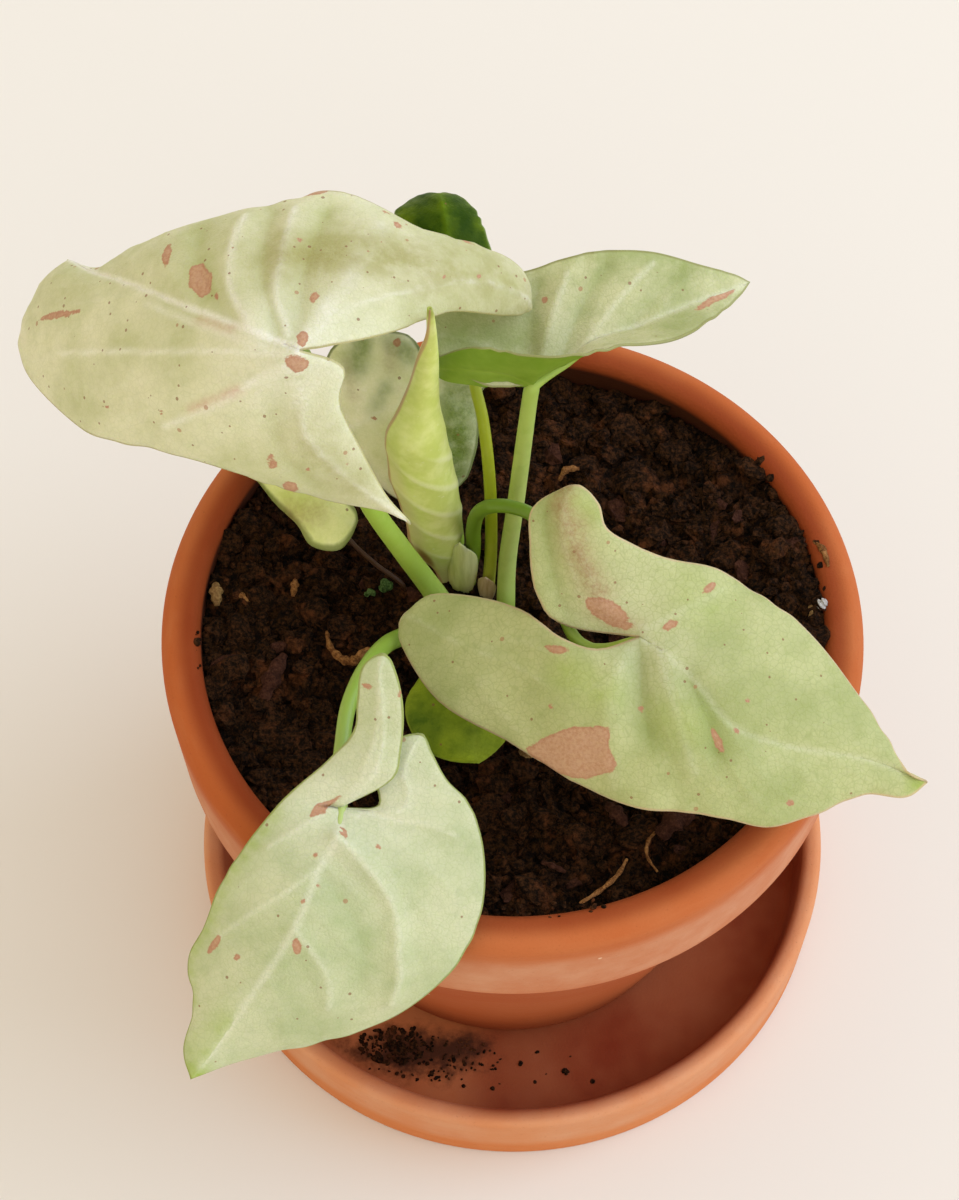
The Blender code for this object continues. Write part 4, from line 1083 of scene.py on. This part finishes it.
UNDERSIDES = {"leaf_back_right": LIME_UNDER, "leaf_front": LIME_UNDER, "leaf_back": GREEN_UNDER,
              "leaf_low_left": GREEN_UNDER, "leaf_low_front": GREEN_UNDER}


# %% Blades
BLADE_THICKNESS = 0.42                     # mm
CREASE_DEPTH, CREASE_WIDTH = 0.1, 1.0      # how the midrib sinks into the blade, mm
MILKY_PLEAT = 1.4                          # whitishness of a raised vein for each mm of its height
MARGIN_ROLL = 0.35                         # how far the margin turns down, mm
FAR = 9.0                                  # further than any splash reaches, mm


def marks(table, name, side):
    """What a table says of one half of a leaf, with its routes as shares."""
    for route, *sizes in table.get(name, {}).get(side, []):
        yield [(along / 100, across / 100) for along, across in route], *sizes


def leaf_frame(leaf):
    """Turn and place of a leaf's own frame."""
    heading, climb, roll = (math.radians(angle) for angle in leaf["turn"])
    return np.array(Euler((roll, -climb, heading)).to_matrix()), np.array(leaf["at"], float)


def shade_of(table, name, side, half):
    """Soft strokes of colour on a half blade, 0 to 1."""
    shade = np.zeros(half.grid.shape[:2])
    for route, radius, strength in marks(table, name, side):
        away = nearness(half.grid, half.path(route, 16))
        shade = np.maximum(shade, strength * np.exp(-(away / radius) ** 2))
    return shade


def splashed(name, side, half):
    """Distance in mm to the edge of the nearest splash, below zero inside it."""
    splash = np.full(half.grid.shape[:2], FAR)
    for corners, radius in marks(SPLASHES, name, side):
        if len(corners) > 2:
            ring = np.array([half.spot(*corner) for corner in corners])
            away = depth_in(half.grid, ring) - radius
        else:
            taper = radius * (0.4 + 0.6 * np.sin(np.linspace(0, math.pi, 16)))
            away = nearness(half.grid, half.path(corners, 16), taper)
        splash = np.minimum(splash, away)
    return splash


def half_fields(name, side, half, midrib, ribs, pleats, ripple_mm):
    """How far each point of a half is lifted, mm, and what is kept there for the material."""
    grid = half.grid
    to_edge = nearness(grid, np.vstack([grid[:, -1], grid[:half.lobe_rows + 1, 0]]))
    to_vein = nearness(grid, midrib)
    lift = -CREASE_DEPTH * np.exp(-to_vein / CREASE_WIDTH)
    for path, height, width in ribs:
        away = nearness(grid, path)
        lift += height * np.exp(-(away / width))
        to_vein = np.minimum(to_vein, away + (0.3 if height > 0.3 else 0.9))
    shaded_hollow, milk = np.zeros(grid.shape[:2]), 0.32 * np.exp(-(to_vein / 0.75) ** 2)
    for path, height, width in pleats:
        away = nearness(grid, path)
        slope = np.exp(-(away / width) ** 1.5)
        lift += height * slope
        # Sunk pleats are kept for the painted shade in their valleys.
        shaded_hollow += max(0, -height) * slope
        if height > 0:
            white = min(0.6, MILKY_PLEAT * height)
            milk = np.maximum(milk, white * np.exp(-(away / (0.3 * width)) ** 2))
    lift *= 1 - np.exp(-to_edge / 1.5)         # veins and pleats die out at the margin
    station = half.stations[:, None] / (half.lobe + half.blade)
    ripple = ripple_mm * np.exp(-to_edge / 2.0) * np.sin(station * 61 + 3 * np.sin(station * 23))
    ripple -= MARGIN_ROLL * np.exp(-to_edge / 0.7)
    return lift + ripple, dict(vein=to_vein, milk=milk, edge=to_edge, shaded_hollow=shaded_hollow,
                               splash=splashed(name, side, half),
                               dusk=shade_of(DUSK, name, side, half),
                               deep_and_shade=shade_of(GREENER_AND_SHADED, name, side, half))


def make_leaf(name, leaf):
    halves = {side: HalfBlade(leaf, side) for side in ("left", "right")}
    turn, at = leaf_frame(leaf)
    midrib, large = through(leaf["midrib"], 120), is_large(leaf)
    ups = {side: half.upward(half.grid) for side, half in halves.items()}
    ridge = sum(up[half.lobe_rows:, 0] for up, half in zip(ups.values(), halves.values()))
    for side, half in halves.items():      # both halves rise the same way along the midrib
        length = np.linalg.norm(ridge, axis=1, keepdims=True) + 1e-9
        ups[side][half.lobe_rows:, 0] = ridge / length
    ribs = [(half.path(route), *size) for half in halves.values()
            for route, *size in side_veins(6 if large else 4)]
    pleats = [(halves[side].path(route), *size) for side in halves
              for route, *size in marks(PLEATS, name, side)]
    points, faces, fields = [], [], []
    for side, half in halves.items():
        lift, field = half_fields(name, side, half, midrib, ribs, pleats,
                                  WAVE_HEIGHT if large else WAVE_HEIGHT / 3)
        grid = half.grid + ups[side] * lift[..., None]
        quads = grid_faces(len(grid), half.columns + 1, len(points))
        faces += [(a, d, c, b) if side == "left" else (b, c, d, a) for a, b, c, d in quads]
        points += list((grid @ turn.T + at).reshape(-1, 3))
        fields.append(dict(field, heart=np.linalg.norm(grid, axis=2)))
    joined = {key: np.concatenate([field[key].ravel() for field in fields]) for key in fields[0]}
    mesh = raw_mesh(name, points, faces=faces, **joined)
    work = bmesh.new()
    work.from_mesh(mesh)
    bmesh.ops.remove_doubles(work, verts=work.verts, dist=0.00003)
    work.to_mesh(mesh)
    work.free()
    mesh.shade_smooth()
    upper = variegated(name + "_upper", **LEAF_PAINT[name])
    sheet = link_mesh(name + "_sheet", mesh, upper, UNDERSIDES.get(name, PALE_UNDER))
    result = thickened(name + "_blade", sheet, BLADE_THICKNESS, 0, lower_slot=1)
    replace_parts(result, name)
    return result


blades = {name: make_leaf(name, leaf) for name, leaf in LEAVES.items()}
print("faces per blade:", {name: len(blade.data.polygons) for name, blade in blades.items()})

# %% [markdown]
# ## Stalks
# Each leaf stands on a juicy green stalk (petiole), round in section, that leaves the soil upright
# and then leans out under its blade. Below the blade it goes on as the midrib's keel, which thins
# out towards the tip. A Bezier curve with a bevel would do for one; a Geometry Nodes sweep reads
# the thickness from the points of a plain line, so all stalks, keels and roots share one tree.

# %% Stalk routes
STALKS = {     # foot, knots above it, radius at the foot and at the top, mm
    "stalk_top_left": ((-13.5, 7), [(-16, 6.5, 117), (-20.5, 6, 131), (-25.5, 6, 147),
        (-31.5, 7.5, 172), (-34.2, 9, 185), (-35.2, 8.4, 192.3)], 2.3, 1.4),
    "stalk_right": ((-8.2, 12.6), [(-7.3, 12.6, 117), (-7.2, 12, 127), (-6.3, 10.3, 135.5),
        (-4, 8, 142), (0, 6.3, 144.5), (4, 3.5, 145), (6.5, -3, 142.8), (8, -10, 140),
        (10.6, -16, 137.6), (15.5, -18.6, 137.8), (20.4, -18.7, 141.5)], 1.5, 1.0),
    "stalk_front": ((-16, 2.4), [(-19, -4, 116), (-23, -11, 125), (-26.5, -18.5, 129.7),
        (-29, -26, 131.2), (-30, -33.5, 131), (-30.5, -40, 130.6), (-30, -44.5, 130.4)], 1.8, 1.2),
    "stalk_back_right": ((-1.2, 6.8), [(-0.9, 11, 117), (0.5, 14.5, 132.5), (1.7, 17.2, 148),
        (2.4, 18.3, 158), (2.9, 19, 164.3)], 1.8, 1.3),
    "stalk_back": ((-4.4, 10.8), [(-4, 13, 116), (-4, 15.7, 127), (-4.5, 19.5, 137),
        (-5.5, 24, 145), (-7, 28, 151), (-8.5, 34, 157.5), (-9.8, 40.5, 163.5)], 1.2, 1.0),
    "stalk_middle": ((-10, 21), [(-11, 26, 117), (-13, 30.5, 130), (-14.8, 33, 140),
        (-15, 32.5, 142.8)], 1.0, 0.8),
    "stalk_low_left": ((-20.5, 10.5), [(-25.5, 13, 111.5), (-30, 15.5, 116), (-34, 20.5, 119.9),
        (-35.6, 25, 122.1)], 0.9, 0.8),
    "stalk_low_front": ((-11, 2), [(-10.5, -6.5, 112.5), (-9.8, -13, 116.5), (-9.6, -16.3, 117.6)],
        1.0, 0.8)}


# %% Sweep tree
def sweep_tree():
    sweep = Shape("Swept line", Sides=18, Material="")
    curve = sweep.add("GeometryNodeMeshToCurve", {0: sweep.given["Geometry"]})
    thick = sweep.add("GeometryNodeInputNamedAttribute", {"Name": "thick"}, data_type="FLOAT")
    ring = sweep.add("GeometryNodeCurvePrimitiveCircle",
                     {"Resolution": sweep.given["Sides"], "Radius": 1.0})
    return sweep.close(sweep.add("GeometryNodeCurveToMesh", {
        "Curve": curve, "Profile Curve": ring, "Scale": thick, "Fill Caps": True}))


def swept(name, points, radii, material, sides=18):
    """Tube through points in mm; "along" keeps how far along it, from 0 to 1, each point lies."""
    line = line_mesh(name + "_line", points, thick=np.asarray(radii, float) * MM,
                     along=np.linspace(0, 1, len(points)))
    return run_tree(name, line, sweeper, sides=sides, material=material)


def juicy(name, foot, middle, top):
    """Fresh stalk: paler and yellower at the foot, with soft mottling and a waxy sheen."""
    stem = Finish(name, foot)
    along, mottle = stem.kept("along"), stem.grain(2.6, 4, 0.6)
    stem.coat(stem.ramp(along, 0.02, 0.22), middle)
    stem.coat(stem.ramp(along, 0.3, 0.75), top)
    stem.coat(stem.ramp(mottle, 0.45, 0.75), foot, 0.3)
    return stem.done(mottle, 0.1, IOR=1.42, Roughness=0.4, **seeping(0.3, 1.2, (0.8, 1.0, 0.3)))


# %% Stalks and keels
STALK_PAINT = {
    "stalk_top_left": ("BCCD6C", "A2BE4A", "AEC266"),
    "stalk_right": ("7A9A28", "66841A", "B4C854"), "stalk_front": ("9CB648", "8EAC40", "B4C674"),
    "stalk_back_right": ("90AE3C", "BACA6C", "9CB44A"),
    "stalk_back": ("B8B84C", "A4AE20", "94A428"), "stalk_middle": ("90A83C", "88A038", "9CB052"),
    "stalk_low_left": ("40281A", "4C3120", "5E482A"),
    "stalk_low_front": ("7E9A2A", "7A9A26", "8CA834")}
KEEL_DEPTH = 0.18          # how far the keel's upper side lies under the blade's middle, mm
FOLDED = {"leaf_back_right": 0.6}    # more room for the keel's start where the blade is folded, mm
FOLD_LENGTH = 9.0          # how far along the midrib it is folded, mm
JOINT_SMOOTHING = 16       # rounds of smoothing where the stalk meets the keel
SLIM = {"stalk_low_left": 0.5}       # a dried stalk shrinks
KEEL_THICKNESS, KEEL_TIP = 0.7, 0.2      # share of the stalk's end at first; radius at last, mm
FLARE = 0.12               # how much wider a stalk is at its foot and under its blade


def blade_heights(leaf_name, route):
    """Height of the blade's middle over each point of a route, in the leaf's own frame, mm."""
    turn, at = leaf_frame(LEAVES[leaf_name])
    own = (np.array([vertex.co for vertex in blades[leaf_name].data.vertices]) / MM - at) @ turn
    heights = []
    for x, y, z in route:
        near = own[(np.hypot(own[:, 0] - x, own[:, 1] - y) < 0.7) & (abs(own[:, 2] - z) < 2), 2]
        heights.append(near.mean() if len(near) else z)
    return np.convolve(np.pad(heights, 2, mode="edge"), np.full(5, 0.2), mode="valid")


def make_stalk(leaf_name):
    name = leaf_name.replace("leaf_", "stalk_")
    foot, route, base_radius, top_radius = STALKS[name]
    turn, at = leaf_frame(LEAVES[leaf_name])
    stem = through([(*foot, SOIL_LEVEL - 3), (*foot, SOIL_LEVEL + 2), *route], 90)
    share = np.linspace(0, 1, len(stem))
    radii = (base_radius + (top_radius - base_radius) * share) * SLIM.get(name, 1)
    radii = radii * (1 + FLARE * np.exp(-share * 14) + FLARE * np.exp(-(1 - share) * 18))
    knots = LEAVES[leaf_name]["midrib"]
    midrib = smooth_curve(knots, np.linspace(0.25, len(knots) - 1.1, 50))
    keel_radii = np.linspace(KEEL_THICKNESS * top_radius, KEEL_TIP, len(midrib))
    sunk = midrib.copy()
    room = FOLDED.get(leaf_name, 0) * np.exp(-(midrib[:, 0] / FOLD_LENGTH) ** 2)
    sunk[:, 2] = blade_heights(leaf_name, midrib) - KEEL_DEPTH - room - keel_radii
    keel = sunk @ turn.T + at
    bridge = smooth_curve([stem[-12], stem[-1], keel[0], keel[8]], np.linspace(1, 2, 8))[1:-1]
    bridge_radii = np.linspace(radii[-1], keel_radii[0], len(bridge) + 2)[1:-1]
    path = np.vstack([stem, bridge, keel])
    thick = np.concatenate([radii, bridge_radii, keel_radii])
    bend = slice(len(stem) - 10, len(stem) + 14)
    for _ in range(JOINT_SMOOTHING):       # the stalk passes into the keel in one bend
        for values in (path, thick):
            before, after = (values[bend.start + k:bend.stop + k] for k in (-1, 1))
            values[bend] = (before + 2 * values[bend] + after) / 4
    stalk = swept(name + "_tube", path, thick, juicy(name + "_skin", *STALK_PAINT[name]))
    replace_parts(stalk, name)


sweeper = sweep_tree()
for leaf_name in LEAVES:
    make_stalk(leaf_name)

# %% [markdown]
# ## The leaf that is still rolled up
# A new leaf comes up rolled round itself like a cigar, tip first. It is a spiral sheet here: the
# radius shrinks a little for each turn inwards, the free edge stands off the roll, and side veins
# show as slanting swellings. The same could be a cylinder with a seam painted on, but a true spiral
# gives the edge its shadow. The margin is rusty pink, the foot creamy with a brown bruise.

# %% Rolled leaf
ROLLED_LEAF = [    # middle and radius in mm, bearing of the free edge in degrees
    (-12.4, 12.4, 104, 1.0, 250), (-13.2, 12.9, 111, 1.8, 236), (-13.9, 14.2, 122, 4.9, 222),
    (-15, 14.7, 136, 5.5, 210), (-16.5, 15.8, 148, 5.6, 202), (-17, 16.3, 156, 5.2, 198),
    (-16.2, 17, 163, 3.5, 200), (-15, 17.7, 175, 2.2, 205), (-14.2, 17.4, 183, 1.1, 215),
    (-14.2, 16.9, 189, 0.8, 230), (-14.3, 16.3, 193, 0.5, 240)]
ROLL_TURNS = 1.35
ROLL_ROWS, ROLL_COLUMNS = 150, 90
ROLL_THICKNESS, ROLL_CORE = 0.35, 0.12       # of the sheet, and its least radius, mm


def rolled_material():
    young = Finish("young_leaf_wax", "CAD46C")
    along, to_edge = young.kept("along"), young.kept("edge")
    fleck = young.grain(1.4, 2)
    young.coat(young.ramp(young.grain(4.5, 4, 0.6), 0.35, 0.7), "DEE48C")
    young.coat(young.ramp(along, 0.12, 0.0), "E8DEA0")
    young.coat(young.ramp(young.kept("vein"), 0.45, 1.0), "EDEEB4", 0.55)
    young.coat(young.ramp(fleck, 0.66, 0.74), "E2E4B4", 0.45)
    young.coat(young.ramp(along, 0.9, 0.97), "8F9A2C", 0.8)
    cream = young.times(young.ramp(to_edge, 4.5, 2.0), young.ramp(along, 0.5, 0.36))
    young.coat(cream, "E0D49C", 0.55)
    young.coat(young.ramp(young.kept("splash"), 0.3, 0.9), "8A5A22", 0.8)
    young.coat(young.ramp(to_edge, 0.7, 0.3), "B98A62", 0.8)
    return young.done(fleck, 0.06, IOR=1.45, Roughness=0.4, **seeping(0.3, 1.2, (0.8, 1.0, 0.3)))


def smooth_sheet(name, grid, material, **fields):
    """Sheet on a grid of points in mm."""
    faces = grid_faces(*grid.shape[:2])
    mesh = raw_mesh(name, grid.reshape(-1, 3), faces=faces, **fields)
    mesh.shade_smooth()
    return link_mesh(name + "_sheet", mesh, material)


def make_rolled_leaf():
    shape = through(ROLLED_LEAF, ROLL_ROWS)
    rise = np.linspace(0, 1, ROLL_ROWS)[:, None]
    wound = np.linspace(0, 1, ROLL_COLUMNS)[None, :] * ROLL_TURNS
    angle = np.radians(shape[:, 4:5]) + 2 * math.pi * wound
    height = shape[:, 2:3]
    phase = (height + 5.5 * (2 * math.pi * wound)) / 9.0
    swelling = np.abs(np.cos(math.pi * phase)) ** 6 * np.exp(-((rise - 0.3) / 0.2) ** 4)
    edge_wave = 0.25 * np.sin(height * 0.32) * np.exp(-wound * 14)
    radius = shape[:, 3:4] * (1 + 0.13 * np.exp(-wound * 9) - 0.17 * wound)
    radius = np.maximum(radius + (0.2 * swelling + edge_wave), ROLL_CORE)
    grid = np.stack([shape[:, 0:1] + radius * np.cos(angle), shape[:, 1:2] + radius * np.sin(angle),
                     height + 0 * angle], axis=-1)
    grid[0] = shape[0, :3] + (grid[0] - shape[0, :3]) * 0.3
    bruise = np.exp(-(((rise - 0.18) / 0.05) ** 2 + ((wound - 0.05) / 0.05) ** 2))
    sheet = smooth_sheet("rolled_leaf", grid, rolled_material(), along=rise + 0 * wound,
                         edge=2 * math.pi * wound * shape[:, 3:4], vein=swelling, splash=bruise)
    return thickened("rolled_young_leaf", sheet, ROLL_THICKNESS, -1)


rolled = make_rolled_leaf()
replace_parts(rolled, "leaf_unfurling")
print("rolled leaf faces:", len(rolled.data.polygons))

# %% [markdown]
# ## Sheaths and small things on the soil
# Round the feet of the stalks stand thin sheaths: one fresh and half see-through, one old and
# papery. On the soil lie a few bits that every such pot has: bark chips, a grain of perlite, a dead
# stalk, fine roots, and crumbs that fell over the rim into the saucer. They are few, and each is
# placed one by one with the crumb tree or the sweep.

# %% Sheaths
def papery(name, pale, dark, light_through):
    paper = Finish(name, pale)
    streak = {"Vector": paper.place, "Scale": (1, 1, 0.12)}
    fibre = paper.noise(paper.add("ShaderNodeMapping", streak), 0.8)
    paper.coat(paper.ramp(fibre, 0.35, 0.75, 0.2, 0.9), dark)
    return paper.done(fibre, 0.05, Roughness=0.5, **seeping(light_through, 1.0, (1.0, 0.9, 0.5)))


SHEATHS = {     # middle, radius and height in mm, arc in degrees, material
    "sheath_right": ((-9.0, 13.1), 2.9, 18.5, (190, 322),
                     papery("fresh_sheath", "E8E8A4", "CACC80", 0.5)),
    "sheath_back": ((-4.4, 10.8), 1.8, 7.5, (195, 310),
                    papery("old_sheath", "DCC49A", "B08C60", 0.2)),
}
SHEATH_BULGE, SHEATH_THICKNESS = 0.12, 0.25
SHEATH_DEPTH = 1.5         # how far the sheath goes into the soil, mm


def make_sheath(name, centre, radius, height, arc, material, rows=30, columns=24):
    rise = np.linspace(0, 1, rows)[:, None]
    side = np.linspace(-1, 1, columns)[None, :]
    rounding = np.sqrt(1 - 0.97 * rise ** 9)
    breadth = (0.6 + 0.4 * np.sin(math.pi * np.minimum(1, rise * 0.75))) * rounding
    angle = math.radians(sum(arc) / 2) + math.radians(arc[1] - arc[0]) / 2 * side * breadth
    reach = radius * (1 + SHEATH_BULGE * np.sin(math.pi * rise)) + 0.03 * np.sin(side * 9) * rise
    tall = (height + SHEATH_DEPTH) * rise * (1 - SHEATH_BULGE * side ** 2)
    grid = np.stack([centre[0] + reach * np.cos(angle), centre[1] + reach * np.sin(angle),
                     SOIL_LEVEL - SHEATH_DEPTH + tall], axis=-1)
    sheet = smooth_sheet(name, grid, material)
    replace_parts(thickened(name + "_skin", sheet, SHEATH_THICKNESS, 0), name)


for sheath_name, sheath_shape in SHEATHS.items():
    make_sheath(sheath_name, *sheath_shape)

# %% Chips, fibres and grit
STRAW = earthy("straw_coloured_fibre", "6E4424", "B07A44", "C89058", 0.8)
PALE_WOOD = earthy("pale_wood_splinter", "8A6840", "B8925C", "D0AC74", 0.7)
PERLITE = earthy("expanded_perlite", "CFC8BE", "F4F0EA", "FFFFFF", 0.5)
ALGAE = earthy("green_algae_tuft", "3E5A2A", "7A9A58", "98B470", 0.5)
BITS = [     # piece, material, points and radii in mm
    ("perlite_grain", PERLITE, [(56.6, 4.0, 111.6), (57.2, 4.2, 112.4), (57.9, 4.5, 112.9)],
        [0.7, 1.1, 0.5]),
    ("pale_splinter", PALE_WOOD, [(55.0, 6.0, 110.6), (55.2, 3.4, 111.4), (55.0, 0.6, 110.9)],
        [0.3, 0.6, 0.35]),
    ("rim_straw", STRAW, [(56.0, 17.6, 112.2), (57.8, 15.0, 113.1), (58.6, 11.5, 113.2)],
        [0.35, 0.7, 0.3]),
    ("left_chip", PALE_WOOD, [(-55.2, 9.8, 109.6), (-55.0, 7.6, 110.3), (-54.8, 5.2, 109.6)],
        [0.5, 1.3, 0.6]),
    ("small_chip", STRAW, [(-40.6, 11.8, 107.4), (-40.6, 10.2, 108.2), (-40.9, 8.2, 107.6)],
        [0.3, 0.8, 0.4]),
    ("red_chip", STRAW, [(-51.2, 9.4, 108.0), (-50.2, 7.6, 108.6), (-48.8, 6.4, 108.0)],
        [0.3, 0.7, 0.4]),
    ("curled_fibre", STRAW, [(-34.4, 0.8, 107.6), (-33.6, -3.0, 108.6), (-31.4, -5.6, 109.0),
        (-29.2, -6.0, 109.2), (-27.2, -3.8, 108.8), (-25.6, -3.2, 108.0)],
        [0.3, 0.6, 0.8, 0.9, 0.6, 0.3]),
    ("bark_strip", bark, [(-45.6, -13.6, 108.2), (-44.2, -9.6, 109.0), (-42.2, -4.4, 108.2)],
        [0.8, 1.8, 0.9]),
    ("algae_large", ALGAE, [(-24.3, 9.4, 107.8), (-23.5, 10.0, 108.9), (-22.6, 9.7, 108.0)],
        [0.7, 1.2, 0.6]),
    ("algae_small", ALGAE, [(-27.4, 8.4, 107.6), (-26.4, 8.7, 108.4), (-25.6, 8.4, 107.8)],
        [0.4, 0.7, 0.4]),
    ("pale_shoot", PALE_WOOD, [(2.0, -23.4, 106.8), (2.8, -24.4, 109.2), (3.2, -25.8, 110.4)],
        [1.0, 1.2, 0.7]),
    ("front_stick", bark, [(5.0, -45.8, 108.2), (7.0, -46.8, 108.8), (9.2, -47.8, 108.4)],
        [0.3, 0.6, 0.35]),
    ("front_chip", bark, [(17.0, -34.4, 107.6), (18.6, -36.6, 108.8), (20.2, -38.6, 108.0)],
        [0.7, 1.4, 0.7]),
    ("front_bark", bark, [(26.2, -40.6, 107.6), (29.0, -37.8, 109.0), (32.2, -36.4, 108.0)],
        [1.2, 2.3, 1.2]),
    ("front_root", STRAW, [(25.4, -39.8, 107.8), (24.0, -42.2, 109.0), (23.8, -45.0, 109.0),
        (25.6, -47.6, 108.0)], [0.25, 0.35, 0.3, 0.2]),
    ("rim_root", STRAW, [(11.6, -54.6, 110.2), (15.2, -52.2, 110.4), (18.4, -48.8, 109.4),
        (20.2, -45.2, 108.0)], [0.3, 0.45, 0.45, 0.25]),
    ("lobe_straw", STRAW, [(9.0, 33.0, 107.8), (10.4, 34.8, 108.8), (12.8, 35.4, 108.2)],
        [0.3, 0.75, 0.4])]
for title, material, points, radii in BITS:
    stops = np.linspace(0, len(points) - 1, 6 * len(points))
    thick = np.interp(stops, np.arange(len(points)), radii) * (1 + 0.18 * np.sin(stops * 9.0))
    swept(title, smooth_curve(points, stops), thick, material, sides=10)
print("bits on the soil:", len(BITS))

# %% Spilt crumbs
SMALLEST_CRUMB = 0.5      # mm
SPILLS = [     # piece, middle and half sizes of a patch in mm, crumbs per cm2, largest crumb, seed
    ("saucer_spill", (-24.0, -43.0, SAUCER_FLOOR), (7.5, 4.2), 170.0, 1.5, 4),
    ("saucer_dust", (-16.0, -46.0, SAUCER_FLOOR), (15.0, 5.0), 60.0, 0.8, 8),
    ("saucer_crumbs", (0.0, -48.0, SAUCER_FLOOR), (22.0, 5.0), 5.0, 1.5, 21),
    ("rim_spill_left", (-58.2, -9.0, 112.3), (1.3, 8.0), 70.0, 1.6, 2),
    ("rim_crumbs_front", (9.0, -56.6, 112.6), (12.0, 1.8), 34.0, 1.2, 6),
    ("rim_spill_right", (57.6, 14.0, 112.2), (1.4, 9.0), 40.0, 2.0, 8),
    ("rim_spill_far", (48.4, 33.0, 112.0), (2.6, 3.0), 40.0, 2.6, 12),
]
for title, (x, y, z), (half_x, half_y), per_cm2, largest, seed in SPILLS:
    ring = [(x + half_x * math.cos(a), y + half_y * math.sin(a), z)
            for a in np.linspace(0, 2 * math.pi, 13)[:-1]]
    patch = raw_mesh(title, ring, faces=[tuple(range(12))])
    scatter(title, patch, crumb_peat, per_cm2, SMALLEST_CRUMB, largest, 0.8, 0.5, 1.2, seed)
print("spilt patches:", len(SPILLS))

# %% [markdown]
# ## Finish
# Every piece rides on the one body.

# %% Ride on the one body
for thing in list(scene.objects):
    if thing.type == "MESH" and "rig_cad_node" not in thing and thing != floor:
        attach(thing, "root")
